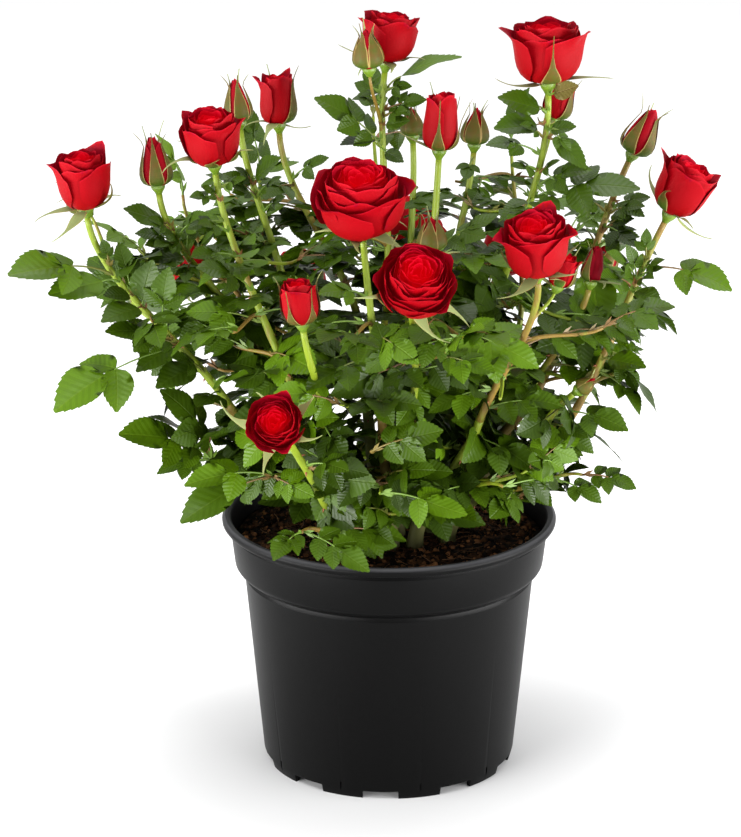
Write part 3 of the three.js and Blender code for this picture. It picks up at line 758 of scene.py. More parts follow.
# %% Flowering shoots: cane, how far up it, head, (width, height), openness, (heading, lean), bare stem
SHOOTS = {
    "rose_far_left": ("left", 1, (-149, -30, 313), (29, 29), 0.5, (245, 11), 50),
    "bud_left": ("left_back", 1, (-115, -10, 317), (16.5, 24), 0.1, (180, 6), 46),
    "rose_left": ("front_left", 1, (-86, -35, 335), (31, 27), 0.58, (250, 13), 48),
    "bud_upper_left": ("left_back", 0.9, (-75, 5, 344), (14, 21), 0.05, (160, 6), 46),
    "rose_back_left": ("centre_back", 1, (-56, 45, 336), (22, 25), 0.32, (120, 4), 40),
    "rose_top_centre": ("centre_back", 0.88, (0, 10, 375), (30, 24), 0.5, (20, 8), 56),
    "bud_small_centre": ("centre", 0.88, (11, 20, 330), (11, 14), 0, (150, 4), 34),
    "rose_slim_centre": ("centre", 1, (25, -10, 337), (21, 28), 0.28, (350, 3), 50),
    "bud_centre_right": ("right_back", 0.86, (43, 27, 326), (14, 18), 0.02, (30, 4), 32),
    "rose_top_right": ("right_back", 1, (76, -10, 372), (38, 30), 0.56, (230, 4), 44),
    "bud_right": ("right", 1, (126, 15, 326), (18, 24), 0.1, (0, 24), 38),
    "rose_far_right": ("far_right", 1, (144, -15, 305), (30, 28), 0.48, (350, 26), 46),
    "rose_front_upper": ("front", 1, (-14, -76, 315), (47, 33), 0.84, (262, 20), 40),
    "rose_front_centre": ("front", 0.86, (12, -101, 282), (40, 28), 1, (276, 48), 36),
    "rose_front_right": ("front_right", 1, (68, -86, 295), (34, 30), 0.6, (255, 20), 34),
    "bud_dark_right": ("right", 0.84, (101, -14, 266), (12, 18), 0.16, (20, 12), 18),
    "bud_green_centre": ("centre", 0.74, (20, -56, 293), (14, 16), 0, (240, 5), 26),
    "rose_small_left": ("front_left", 0.82, (-43, -88, 268), (21, 21), 0.34, (230, 10), 34),
    "rose_low_front": ("low_front", 1, (-54, -116, 216), (29, 24), 0.88, (264, 62), 16),
    "bud_low_right": ("far_right", 0.8, (97, -44, 213), (8, 10), 0, (340, 50), 10),
    "rose_back_far_left": ("back_left", 0.84, (-106, 82, 240), (30, 27), 0.55, (148, 40), 26),
    "rose_back_low_left": ("back_left", 0.7, (-48, 110, 224), (34, 27), 0.85, (112, 52), 26),
    "rose_back": ("back", 0.84, (12, 114, 250), (38, 28), 0.95, (84, 46), 30),
    "rose_back_right": ("back_right", 0.84, (64, 106, 242), (32, 27), 0.7, (60, 48), 26),
    "bud_back_right": ("back_right", 0.7, (114, 78, 246), (16, 22), 0.08, (34, 32), 26),
}

# %% Side buds: how far up the shoot, head, size, openness, lean
SIDE_BUDS = {
    "rose_far_left": (0.68, (-154, -8, 300), (15, 18), 0, (190, 30)),
    "rose_top_centre": (0.8, (-11, -10, 373), (15, 19), 0.02, (200, 5)),
    "rose_top_right": (0.62, (84, 18, 341), (17, 18), 0.3, (20, 14)),
    "rose_front_right": (0.7, (83, -62, 276), (15, 16), 0.3, (330, 20)),
}

# %% Leafy shoots with no flower: cane, how far up it, end
LEAFY_SHOOTS = {
    "leaves_top_left": ("left_back", 0.78, (-104, 34, 288)),
    "leaves_top_back_left": ("back_left", 1, (-66, 58, 292)),
    "leaves_top_back": ("back", 1, (-8, 62, 322)),
    "leaves_top_back_right": ("back_right", 1, (62, 52, 312)),
}

# %% Leaves at known places, by shoot: where root and tip appear in the frame (pixels across, down),
# how much further back the tip is (mm), leaflets, tone and any roll
# The tones deep, green and bright of these leaves are painted shade and painted light, given leaf by leaf.
SEEN_LEAVES = {
    "rose_far_left": [
        ((115, 277), (4, 273), -38, 3, "bright"), ((132, 276), (45, 296), -30, 1, "bright"),
        ((160, 297), (102, 318), -26, 1, "green"), ((177, 350), (48, 411), -40, 3, "bright"),
        ((198, 372), (154, 383), -22, 1, "green"), ((165, 315), (135, 345), -20, 1, "deep"),
        ((135, 297), (104, 293), -12, 1, "deep"), ((146, 308), (150, 257), -4, 1, "green"),
        ((134, 296), (118, 240), 4, 3, "green"), ((128, 288), (98, 256), 6, 3, "green"),
        ((222, 392), (196, 408), -30, 3, "green"), ((215, 385), (246, 378), -34, 3, "bright"),
        ((205, 375), (170, 355), -14, 3, "green"), ((178, 348), (128, 336), -10, 5, "green"),
        ((172, 346), (102, 330), -22, 3, "green"), ((205, 290), (166, 266), -10, 3, "green"),
        ((176, 352), (134, 368), -20, 1, "green"), ((118, 262), (102, 238), -4, 3, "green"),
    ],
    "leaves_left": [
        ((205, 428), (115, 430), -24, 5, "bright"), ((190, 392), (150, 409), -20, 1, "deep", 40),
        ((211, 460), (196, 420), -14, 3, "green"), ((211, 460), (174, 440), -14, 3, "green"),
        ((211, 460), (216, 424), -24, 3, "green"), ((206, 410), (163, 384), -18, 3, "green"),
    ],
    "bud_left": [
        ((160, 236), (121, 206), -12, 1, "green"), ((170, 272), (146, 262), -20, 1, "green"),
        ((178, 262), (190, 214), 6, 3, "green"), ((180, 245), (152, 246), -18, 3, "green"),
        ((186, 258), (160, 228), -14, 3, "green"), ((190, 262), (214, 232), -16, 3, "green"),
        ((176, 240), (208, 210), -8, 3, "green"), ((172, 236), (148, 216), -10, 3, "green"),
        ((170, 256), (144, 244), -14, 3, "green"), ((190, 264), (184, 284), -22, 3, "green"),
        ((178, 250), (134, 230), -10, 3, "green"),
    ],
    "rose_left": [
        ((232, 262), (250, 258), -30, 1, "bright"), ((236, 300), (196, 262), -24, 3, "green"),
        ((226, 235), (196, 222), -14, 3, "green"), ((222, 205), (202, 184), -8, 3, "green"),
        ((224, 262), (188, 256), -16, 3, "green"), ((220, 190), (246, 178), -8, 3, "green"),
        ((224, 198), (188, 196), -6, 3, "green"), ((228, 222), (186, 228), -10, 3, "deep"),
    ],
    "leaves_front_left": [
        ((262, 452), (180, 483), -22, 3, "bright"), ((250, 470), (176, 522), -26, 1, "green"),
    ],
    "bud_upper_left": [
        ((243, 190), (281, 154), -10, 1, "green"), ((250, 205), (224, 170), -6, 3, "green"),
        ((252, 200), (282, 176), -14, 3, "green"), ((258, 201), (230, 184), -12, 3, "deep"),
        ((262, 214), (286, 196), -8, 3, "deep"), ((258, 186), (236, 166), -8, 3, "deep"),
    ],
    "rose_back_left": [
        ((292, 180), (329, 156), -8, 3, "green"), ((286, 190), (262, 196), -30, 3, "green"),
    ],
    "rose_top_centre": [
        ((372, 150), (313, 93), -10, 5, "green"), ((373, 143), (337, 144), -14, 1, "deep", 20),
        ((382, 112), (428, 98), -8, 5, "green", 20), ((373, 96), (354, 96), -6, 1, "green", 20),
        ((382, 128), (409, 120), -10, 1, "green", 20), ((378, 152), (403, 162), -10, 1, "deep", 20),
        ((384, 100), (459, 46), -10, 1, "bright", -32), ((384, 92), (412, 84), -8, 3, "green", 20),
        ((384, 104), (352, 98), -10, 3, "green", 20), ((383, 118), (408, 110), -12, 3, "green", 20),
    ],
    "bud_centre_right": [
        ((482, 160), (464, 180), -20, 3, "green"),
    ],
    "rose_top_right": [
        ((540, 116), (497, 95), -8, 1, "green"), ((540, 126), (492, 131), -10, 1, "green"),
        ((543, 133), (577, 127), -8, 1, "green", 10), ((543, 138), (590, 168), -8, 1, "green"),
        ((546, 98), (580, 86), -6, 1, "flushed", 25), ((534, 154), (484, 140), -12, 3, "green", 10),
        ((532, 190), (592, 166), -14, 3, "green"), ((530, 200), (643, 184), -20, 3, "green"),
        ((538, 172), (510, 166), -16, 3, "green"), ((537, 178), (560, 160), -10, 3, "green"),
        ((540, 170), (570, 196), -12, 3, "green"), ((536, 186), (560, 212), -12, 3, "green"),
        ((545, 128), (572, 152), -6, 3, "green"), ((543, 140), (520, 122), -10, 3, "green"),
    ],
    "bud_right": [
        ((606, 200), (645, 218), -12, 1, "green"), ((592, 222), (637, 246), -26, 3, "deep"),
        ((600, 262), (598, 330), -30, 1, "bright"), ((596, 250), (640, 236), -20, 3, "green"),
        ((604, 215), (645, 205), -14, 3, "green"), ((608, 210), (652, 196), -4, 3, "green"),
        ((606, 214), (576, 196), -8, 3, "green"), ((598, 236), (640, 206), -6, 3, "green"),
        ((596, 234), (634, 216), -10, 3, "deep"),
    ],
    "rose_far_right": [
        ((625, 292), (660, 302), -16, 1, "green"), ((640, 268), (737, 286), -20, 3, "bright"),
        ((634, 282), (610, 250), -14, 3, "green"), ((608, 336), (634, 334), -18, 1, "green"),
        ((600, 362), (649, 366), -18, 1, "bright"), ((598, 370), (645, 413), -16, 3, "green", -30),
        ((636, 283), (628, 243), -6, 3, "green"), ((640, 275), (664, 258), -8, 3, "green"),
        ((632, 290), (600, 276), -22, 3, "green"), ((600, 358), (668, 408), -16, 1, "deep", -50),
        ((606, 350), (640, 392), -10, 3, "green"), ((645, 262), (646, 228), -4, 3, "green"),
        ((634, 286), (654, 276), -14, 3, "green"), ((640, 280), (664, 266), -6, 3, "green"),
        ((634, 292), (660, 302), -16, 1, "green"),
    ],
    "bud_low_right": [
        ((560, 416), (632, 428), -14, 3, "green"), ((556, 424), (632, 457), -6, 1, "deep", -50),
        ((548, 426), (590, 438), -16, 3, "green"),
    ],
    "leaves_far_right": [
        ((548, 470), (604, 502), -12, 3, "green"), ((552, 446), (588, 465), -8, 1, "deep", -20),
    ],
    "rose_front_upper": [
        ((368, 300), (318, 290), -20, 3, "bright"),
    ],
    "rose_low_front": [
        ((300, 470), (352, 470), -24, 3, "green"),
    ],
}

# %% Leaves out of sight or low at the front, by shoot: how far up it, tip (x, y, z), leaflets and tone
PLACED_LEAVES = {
    "rose_back_far_left": [(0.4, (-140, 70, 226), 3, "green")],
    "rose_back": [(0.4, (20, 131, 226), 3, "green")],
    "rose_back_right": [(0.5, (106, 106, 226), 3, "green")],
    "bud_back_right": [(0.5, (140, 66, 232), 3, "green")],
    "leaves_front": [(0.97, (38, -92, 160), 3, "bright")],
    "leaves_low_front": [(0.97, (-9, -98, 134), 5, "green")],
}
print(len(CANES), "canes,", len(SHOOTS), "flowering shoots,", len(LEAFY_SHOOTS), "leafy tops")

# %% [markdown]
# ## Canes and shoots as lines
#
# A cane starts upright on the compost and leans out to its fork. A shoot at a cane's tip goes on the
# way the cane was heading; one on its side sets off between the cane's way and its own.

# %% Lines of the canes
SIDE_SHOOT = {"at": 0.5, "reach": 44, "lean": 78, "droop": 0.2}


def cane_line(foot, fork):
    heading, radius = foot
    start = leaning(heading, 90) * radius + UP * (COMPOST_TOP - 2)
    tip = np.array(fork, float)
    length = np.linalg.norm(tip - start)
    outward = unit(mix(unit(tip - start), UP, 0.25))
    return Stem(start, start + UP * length * 0.3, tip - outward * length * 0.4, tip)


def shoot_line(start, ahead, end, end_axis):
    span = np.linalg.norm(end - start)
    return Stem(start, start + ahead * span * 0.32, end - end_axis * span * 0.3, end)


def shoot_from(cane, share, end, end_axis):
    ahead = cane.ahead(share)
    seat = cane.at(share)
    if share == 1:
        return shoot_line(seat, ahead, end, end_axis)
    side = unit(end - seat - ahead * np.dot(end - seat, ahead))
    return shoot_line(seat + side, unit(ahead * 0.5 + side), end, end_axis)


canes = {name: cane_line(foot, fork) for name, (foot, fork, _) in CANES.items()}
cane_lengths = sorted(round(line.length) for line in canes.values())
print("canes from", cane_lengths[0], "to", cane_lengths[-1], "mm")


# %% Flowers and the lines of their shoots
def hip_length(width):
    return 3.5 + width * 0.11


class Flower:
    def __init__(self, head, size, openness, lean):
        self.width, self.height = size
        self.openness = openness
        self.axis = leaning(*lean)
        self.hip = hip_length(self.width)
        self.head = np.array(head, float)
        self.foot = self.head - self.axis * (self.height / 2 + self.hip)
        self.side, self.over = axis_frame(self.axis)
        self.held = ()  # sepals that lie against the petals, though the rose is open

    def place(self, radius, height, angle):
        """Points at a radius, height and angle in the flower, as arrays of one shape."""
        out = np.cos(angle)[..., None] * self.side + np.sin(angle)[..., None] * self.over
        return self.foot + out * radius[..., None] + self.axis * height[..., None]


def seen_leaf(line, root, tip, back, *looks):
    """How far up its stem a leaf starts, and its tip, from where both appear in the frame."""
    shares = np.linspace(0.02, 1, 99)
    stem = np.array([line.at(share) for share in shares])
    nearest = np.argmin(np.linalg.norm(in_frame(stem) - root, axis=1))
    return shares[nearest], at_pixel(tip, stem[nearest][1] + back), *looks


class Shoot:
    def __init__(self, name, line, bare):
        self.name, self.line, self.bare = name, line, bare
        self.tips = [seen_leaf(line, *leaf) for leaf in SEEN_LEAVES.get(name, [])]
        self.tips += PLACED_LEAVES.get(name, [])


flowers, shoots, twigs = {}, [], []
for name, (cane, share, head, size, openness, lean, bare) in SHOOTS.items():
    flower = Flower(head, size, openness, lean)
    flowers[name] = flower
    shoots.append(Shoot(name, shoot_from(canes[cane], share, flower.foot, flower.axis), bare))
    if name in SIDE_BUDS:
        at, *bud = SIDE_BUDS[name]
        side_bud = Flower(*bud)
        flowers[name + "_side"] = side_bud
        line = shoots[-1].line
        twigs.append(shoot_line(line.at(at), line.ahead(at), side_bud.foot, side_bud.axis))
for name, (cane, share, end) in LEAFY_SHOOTS.items():
    shoots.append(Shoot(name, shoot_from(canes[cane], share, np.array(end, float), UP), 0))
for name, cane in canes.items():
    x, y, _ = cane.at(1)
    heading = math.degrees(math.atan2(y, x))
    end = cane.at(SIDE_SHOOT["at"]) + leaning(heading, SIDE_SHOOT["lean"]) * SIDE_SHOOT["reach"]
    end_way = unit(leaning(heading, 90) - UP * SIDE_SHOOT["droop"])
    shoots.append(Shoot("leaves_" + name, shoot_from(cane, SIDE_SHOOT["at"], end, end_way), 0))
masses = [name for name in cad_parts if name.startswith(("rose", "bud", "leaves"))]
print(len(flowers), "flowers and buds on", len(shoots), "shoots")
print(len(masses), "masses in the plain model")

# %% [markdown]
# ## Where leaves may grow
#
# A leaf keeps inside the crown, which is an oval at each height, broad at the shoulders and drawn in
# below. It keeps off the flowers, and out of the line in front of each flower, which turned to the
# light and pushed its own leaves aside. Low leaves stay above the compost and the pot's lip, and
# leave room for a watering can at the front. One sees through the crown between some neighbouring
# shoots, and it is thinner at its top and low on its outside.

# %% Room for a leaf
CROWN = {"centre": 250, "depth_share": 0.8, "airy_above": 292, "airy_below": 225, "airy_beyond": 78}
LEFT_OUT = {"top": 0.35, "low": 0.3}  # shares of the leaves, where the crown is airy
CROWN_SIDES = [  # height, half width
    (112, 60), (140, 90), (160, 100), (180, 110), (200, 118), (222, 128), (240, 138),
    (256, 162), (282, 166), (305, 150), (330, 118), (358, 50),
]
SEEN_BETWEEN = [  # two neighbouring shoots, and how far up them one sees between them
    ("bud_left", "rose_left", 0.94),
    ("rose_back_left", "rose_top_centre", 0.74),
    ("rose_top_centre", "rose_slim_centre", 0.8),
    ("rose_slim_centre", "bud_centre_right", 0.92),
    ("bud_centre_right", "rose_top_right", 0.93),
    ("rose_top_right", "bud_right", 0.84),
    ("bud_right", "rose_far_right", 0.84),
]
GAP_SHARE = 0.28  # of the distance between the two
FLOWER_ROOM = 0.62
SIGHT_LENGTH = 90
WATERING_REACH = (-40, 12)
WATERING_SLOPE = 0.33

stem_lines = {shoot.name: shoot.line for shoot in shoots}
gaps = []
for first, second, share in SEEN_BETWEEN:
    ends = in_frame(np.array([stem_lines[first].at(share), stem_lines[second].at(share)]))
    gaps.append((ends.mean(axis=0), GAP_SHARE * np.linalg.norm(ends[1] - ends[0])))
gap_middles, gap_radii = map(np.array, zip(*gaps))
heads = np.array([flower.head for flower in flowers.values()])
rooms = np.array([max(flower.width, flower.height) * FLOWER_ROOM for flower in flowers.values()])
sights = np.array([unit(np.array([0, -0.95 if head[1] < 50 else 0.95, 0.31])) for head in heads])


def inside_crown(point):
    heights, widths = zip(*CROWN_SIDES)
    half_width = np.interp(point[2], heights, widths, left=1, right=1)
    return np.hypot(point[0], point[1] / CROWN["depth_share"]) < half_width


def through_gap(points):
    """Whether points lie where one sees between two shoots."""
    away = np.linalg.norm(in_frame(points)[:, None] - gap_middles, axis=2)
    return bool(np.any(away < gap_radii))


def left_out(root):
    """The share of leaves left out at a place: the crown is airy at its top and low on its outside."""
    radius = np.hypot(root[0], root[1])
    if root[2] > CROWN["airy_above"]:
        return LEFT_OUT["top"]
    return LEFT_OUT["low"] if root[2] < CROWN["airy_below"] and radius > CROWN["airy_beyond"] else 0


def clear_of_flowers(points):
    """Whether points keep out of each flower's room and off its line of sight."""
    away = points[:, None] - heads
    along = np.clip(np.einsum("pfk,fk->pf", away, sights), 0, SIGHT_LENGTH)
    gap = np.linalg.norm(away - along[..., None] * sights, axis=2)
    return bool(np.all(gap > rooms))


def above_pot(points, known):
    """Whether points keep above the compost and the lip, and out of the gap left for the watering can."""
    x, y, z = points.T
    radius = np.hypot(x, y)
    lowest = np.where(radius < COLLAR_RADIUS - 6, COMPOST_TOP + 3, POT_HEIGHT + 2)
    lowest = np.where(radius > RIM_RADIUS + 4, 60, lowest)
    if not known:
        reach = np.where(np.abs(x) < 44, *WATERING_REACH)
        gap = (np.abs(x) < RIM_RADIUS + 5) & (y < reach)
        lowest = np.where(gap, np.maximum(lowest, COMPOST_TOP + WATERING_SLOPE * (reach - y)), lowest)
    return bool(np.all(z > lowest))


# %% [markdown]
# ## A compound leaf
#
# A rose leaf has three, five or seven leaflets: one at the end, the rest in pairs along a thin
# midrib. It faces up and away from the crown's middle. The leaf is worked out as a list of leaflets
# first, so that a leaf with no room can be turned, shortened or left out before any mesh is made.

# %% Leaf rules
LEAFLET = {"share": 0.5, "alone": 0.8, "longest": 33, "width": 0.66}
PAIRS = ((0.86, 0.82, 60), (0.5, 0.7, 68))  # place on the midrib, scale, splay in degrees
MIDRIB_ARCH = 0.08
LEAF_RULE = {"spacing": 13, "first": 7, "reach": 44, "outward": 0.6, "roll": 28, "three_share": 0.25}
TRIES = [(turn, reach) for turn in (0, 42, -42, 90) for reach in (1, 0.84, 0.7)]


BRIGHT_SIDE = 50  # leaves in front of this depth turn to the viewer's side, where the light is


def leaf_face(root, heading, roll, known):
    """The way a leaf's upper side looks, square to the leaf: out and up, or to the brightest light."""
    flat = np.clip((root[2] - 225) / 60, 0, 1)
    face = unit(root - UP * CROWN["centre"]) * mix(0.6, 0.2, flat) + UP * 0.8
    if known and root[1] < BRIGHT_SIDE:
        face = UP * 0.9 + np.array([0.0, -0.55, 0.0])
    face = unit(face - heading * np.dot(face, heading))
    return turned(face, heading, roll)


class Leaf:
    """A midrib and its leaflets, each as root, direction, face, length and width."""

    def __init__(self, root, tip, leaflets, roll, seed, known=None):
        self.seed, self.known = seed, known
        heading = unit(tip - root)
        face = leaf_face(root, heading, roll, known)
        across = np.cross(face, heading)
        reach = np.linalg.norm(tip - root)
        length = min(reach * LEAFLET["share" if leaflets > 1 else "alone"], LEAFLET["longest"])
        end = tip - heading * length + face * reach * MIDRIB_ARCH
        bow = face * reach * 0.05
        self.midrib = Stem(root, mix(root, end, 0.3) + bow, mix(root, end, 0.7) + bow, end)
        self.leaflets = [(end, unit(tip - end), face, length)]
        for at, scale, splay in PAIRS[: (leaflets - 1) // 2]:
            for side in (-1, 1):
                splayed = math.radians(splay + 10 * (draw(seed, side, at) - 0.5))
                ahead = self.midrib.ahead(at)
                away = unit(ahead * math.cos(splayed) + across * side * math.sin(splayed) - face * 0.15)
                tilt = turned(face, ahead, -side * 12)
                size = length * scale * mix(0.88, 1.08, draw(seed, side, at + 1)) * (0.9 if known else 1)
                self.leaflets.append((self.midrib.at(at), away, tilt, size))

    def outline(self):
        points = [self.midrib.at(0.6)]
        for root, away, _, length in self.leaflets:
            points += [root + away * length * 0.5, root + away * length * 0.8, root + away * length]
        return np.array(points)


# %% Growing the leaves
leaves = []


def grow(line, share, tip, leaflets, roll, seed, known=None):
    """Grows a leaf, turned aside or made shorter if it has no room. A known leaf brings its tone."""
    root = line.at(share)
    for turn, reach in TRIES[:1] if known else TRIES:
        end = root + turned(tip - root, UP, turn) * reach
        if not known and not inside_crown(end):
            continue
        leaf = Leaf(root, end, leaflets, roll, seed, known)
        outline = leaf.outline()
        if not above_pot(outline, known):
            continue
        if not known and (through_gap(outline) or not clear_of_flowers(outline)):
            continue
        leaves.append(leaf)
        return True
    return False


def grow_by_rule(line, bare, seed):
    count = int((line.length - bare - LEAF_RULE["first"]) / LEAF_RULE["spacing"]) + 1
    for node in range(count):
        share = (LEAF_RULE["first"] + node * LEAF_RULE["spacing"]) / line.length
        if share > 1:
            continue
        root = line.at(share)
        if draw(seed, node, 5) < left_out(root):
            continue
        outward = unit(root * (1, 1, 0))
        way = unit(leaning(seed * 53 + node * GOLDEN_ANGLE, 90) + outward * LEAF_RULE["outward"])
        way[2] = mix(-0.35, 0.3, draw(seed, node, 1))
        reach = LEAF_RULE["reach"] * mix(0.8, 1.15, draw(seed, node, 2))
        roll = LEAF_RULE["roll"] * (2 * draw(seed, node, 3) - 1)
        leaflets = 3 if draw(seed, node, 4) < LEAF_RULE["three_share"] else 5
        grow(line, share, root + unit(way) * reach, leaflets, roll, seed * 40 + node)


for seed, shoot in enumerate(shoots):
    for i, (share, tip, leaflets, tone, *roll) in enumerate(shoot.tips):
        grow(shoot.line, share, np.array(tip, float), leaflets, sum(roll), 5000 + seed * 9 + i, tone)
for seed, shoot in enumerate(shoots):
    grow_by_rule(shoot.line, shoot.bare, seed)
    if shoot.name not in SHOOTS:
        end = shoot.line.at(1)
        tip = end + unit(shoot.line.ahead(1) + unit(end * (1, 1, 0)) * 0.4) * 42
        if not grow(shoot.line, 1, tip, 5, 0, 7000 + seed):
            grow(shoot.line, 1, mix(end, tip, 0.7), 5, 0, 7000 + seed, "green")
print(len(leaves), "leaves with", sum(len(leaf.leaflets) for leaf in leaves), "leaflets")

# %% [markdown]
# Finer twigs carry the rule on. Each sets off from a cane or shoot at a leaf's root, about as long as
# a finger joint is wide, and bears leaves of its own.

# %% Twigs
TWIG = {"spacing": 24, "first": 26, "reach": 34}
bearers = [(cane, 0) for cane in canes.values()] + [(shoot.line, shoot.bare) for shoot in shoots]
for seed, (line, bare) in enumerate(bearers):
    for node in range(int((line.length - bare - TWIG["first"]) / TWIG["spacing"]) + 1):
        share = (TWIG["first"] + node * TWIG["spacing"]) / line.length
        if share > 0.98:
            continue
        root = line.at(share)
        if draw(seed, node, 13) < left_out(root):
            continue
        way = unit(leaning(seed * 71 + node * GOLDEN_ANGLE + 60, 90) + unit(root * (1, 1, 0)) * 0.5)
        way[2] = mix(-0.1, 0.5, draw(seed, node, 11))
        end = root + unit(way) * TWIG["reach"] * mix(0.7, 1.2, draw(seed, node, 12))
        if not inside_crown(end) or not clear_of_flowers(end[None]) or not above_pot(end[None], False):
            continue
        twig = shoot_line(root, unit(line.ahead(share) + way), end, unit(way + UP * 0.4))
        before = len(leaves)
        grow_by_rule(twig, -4, 200 + seed * 7 + node)
        grow(twig, 1, end + unit(twig.ahead(1) + way) * 38, 5, 0, 8000 + seed * 7 + node)
        if len(leaves) > before:
            twigs.append(twig)
leaflet_count = sum(len(leaf.leaflets) for leaf in leaves)
print(len(twigs), "twigs;", len(leaves), "leaves with", leaflet_count, "leaflets")

# %% [markdown]
# ## Bark
#
# Young rose canes are green with a flush of red-brown on the sunny side, and older wood at the foot
# is duller and browner. The skin swells at each leaf node, and hooked prickles sit on it. The marks
# hold how old the wood is, and a draw for the flush.

# %% Canes, shoots and twigs
CANE_FLARE = 1.5
FLARE_LENGTH = 0.22
SHOOT_RADII = (2.0, 1.55)
LEAFY_RADII = (1.7, 0.8)
TWIG_RADII = (1.1, 0.75)


def stem_radii(line, radii, rings, flare=1.0):
    """Tapering radii with a small swelling at every leaf node."""
    share = np.linspace(0, 1, rings)
    taper = mix(radii[0], radii[1], share) * mix(flare, 1, np.clip(share / FLARE_LENGTH, 0, 1))
    node = ((share * line.length - LEAF_RULE["first"]) / LEAF_RULE["spacing"]) % 1
    return taper * (1 + 0.1 * np.exp(-((node - 0.5) ** 2) / 0.02) * (share < 0.8))


def add_prickle(heap, line, share, radius, heading, age):
    """A hooked prickle: a flattened cone that points a little down the stem."""
    ahead = line.ahead(share)
    side, over = axis_frame(ahead)
    out = side * math.cos(heading) + over * math.sin(heading)
    seat = line.at(share) + out * radius * 0.8
    hook = np.array([seat, seat + out * 1.1 - ahead * 0.3, seat + out * 2.0 - ahead * 1.3])
    add_tube(heap, hook, [0.75, 0.4, 0.05], 4, (age, 1, 0))


stems = Heap()
for seed, (name, (_, _, radii)) in enumerate(CANES.items()):
    line = canes[name]
    rings = 34
    age = np.linspace(1, 0.35, rings)
    marks = np.stack([age, np.zeros(rings), np.full(rings, draw(seed, 3, 1))], axis=1)
    add_tube(stems, line.spread(rings), stem_radii(line, radii, rings, CANE_FLARE), 10, marks)
    for i in range(5):
        add_prickle(stems, line, 0.3 + 0.14 * i, mix(*radii, 0.3 + 0.14 * i), 2.4 * i + seed, 0.6)
for seed, shoot in enumerate(shoots):
    rings = 26
    marks = np.stack(
        [np.linspace(0.35, 0, rings), np.zeros(rings), np.full(rings, draw(seed, 3, 2))], axis=1
    )
    radii = SHOOT_RADII if shoot.bare else LEAFY_RADII
    add_tube(stems, shoot.line.spread(rings), stem_radii(shoot.line, radii, rings), 8, marks)
    for i in range(3):
        share = 0.15 + 0.17 * i
        add_prickle(stems, shoot.line, share, mix(*SHOOT_RADII, share), 2.1 * i + seed, 0.3)
for seed, twig in enumerate(twigs):
    marks = (0.2, 0, draw(seed, 3, 3))
    add_tube(stems, twig.spread(10), stem_radii(twig, TWIG_RADII, 10), 6, marks)

bark = Finish("bark", Specular_IOR_Level=0.4)
age, prickle, flush = bark.marks()
streaks = bark.noise(0.006, 3, (1, 1, 0.3))
reddened = bark.span(streaks * 0.6 + flush * 0.4, 0.42, 0.62)
young = bark.colour(reddened * 0.75, linear(116, 134, 22), linear(118, 74, 36))
old = bark.colour(streaks, linear(50, 54, 20), linear(82, 80, 30))
wood = bark.colour(bark.span(age, 0.25, 0.95), young, old)
bark.relief(bark.noise(0.0012, 3, (1, 1, 0.4)), 0.00025)
bark_material = bark.show(
    Base_Color=bark.colour(prickle, wood, linear(134, 78, 48)),
    Roughness=0.42 + age * 0.25 + streaks * 0.1,
)
stems.piece("canes_and_shoots", bark_material, "cane", ["cane_" + name for name in CANES] + masses)

# %% [markdown]
# ## Leaflets
#
# A rose leaflet is a pointed oval with a saw edge. Its two halves fold up a little from the midrib
# and its tip hangs. All leaflets share one outline, kept to a few dozen faces, and the whole heap is
# bent at once with arrays: fold, droop and a wave that differs from leaflet to leaflet.

# %% One leaflet's outline
TEETH = 10
TOOTH_REACH = 1.045
TOOTH_LEAN = 0.72


def half_width(along):
    """Half of the leaflet's width, as a share of its widest, from root to tip."""
    return np.sin(math.pi * np.clip(along, 0, 1) ** 0.78) ** 0.82


def leaflet_outline():
    """Points as (across from -1 to 1, along from 0 to 1), and its quads and triangles."""
    points, index = [(0, 0)], {(0, 0): 0}
    for row in range(1, TEETH):
        along = row / TEETH
        for column in (-2, -1, 0, 1, 2):
            index[row, column] = len(points)
            points.append((half_width(along) * column / 2, along - 0.02 * (column != 0)))
    index[TEETH, 0] = len(points)
    points.append((0, 1))
    quads, triangles = [], []
    for side in (-1, 1):
        def face(*keys):
            corners = [index[key] for key in keys]
            (quads if len(corners) == 4 else triangles).append(corners if side > 0 else corners[::-1])

        for row in range(TEETH):
            ends = (row, row + 1)
            if row == 0:
                face((0, 0), (1, side), (1, 0))
                face((0, 0), (1, 2 * side), (1, side))
            elif row == TEETH - 1:
                face((row, 0), (row, side), (TEETH, 0))
                face((row, side), (row, 2 * side), (TEETH, 0))
            else:
                face((row, 0), (row, side), (row + 1, side), (row + 1, 0))
                face((row, side), (row, 2 * side), (row + 1, 2 * side), (row + 1, side))
            tooth = mix(*ends, TOOTH_LEAN) / TEETH
            index["tooth", row, side] = len(points)
            points.append((side * half_width(tooth) * TOOTH_REACH, tooth + 0.02))
            low = (0, 0) if row == 0 else (row, 2 * side)
            high = (TEETH, 0) if row == TEETH - 1 else (row + 1, 2 * side)
            face(low, ("tooth", row, side), high)
    return np.array(points, float), np.array(quads), np.array(triangles)


outline, outline_quads, outline_triangles = leaflet_outline()
print("a leaflet has", len(outline_quads) + len(outline_triangles), "faces")


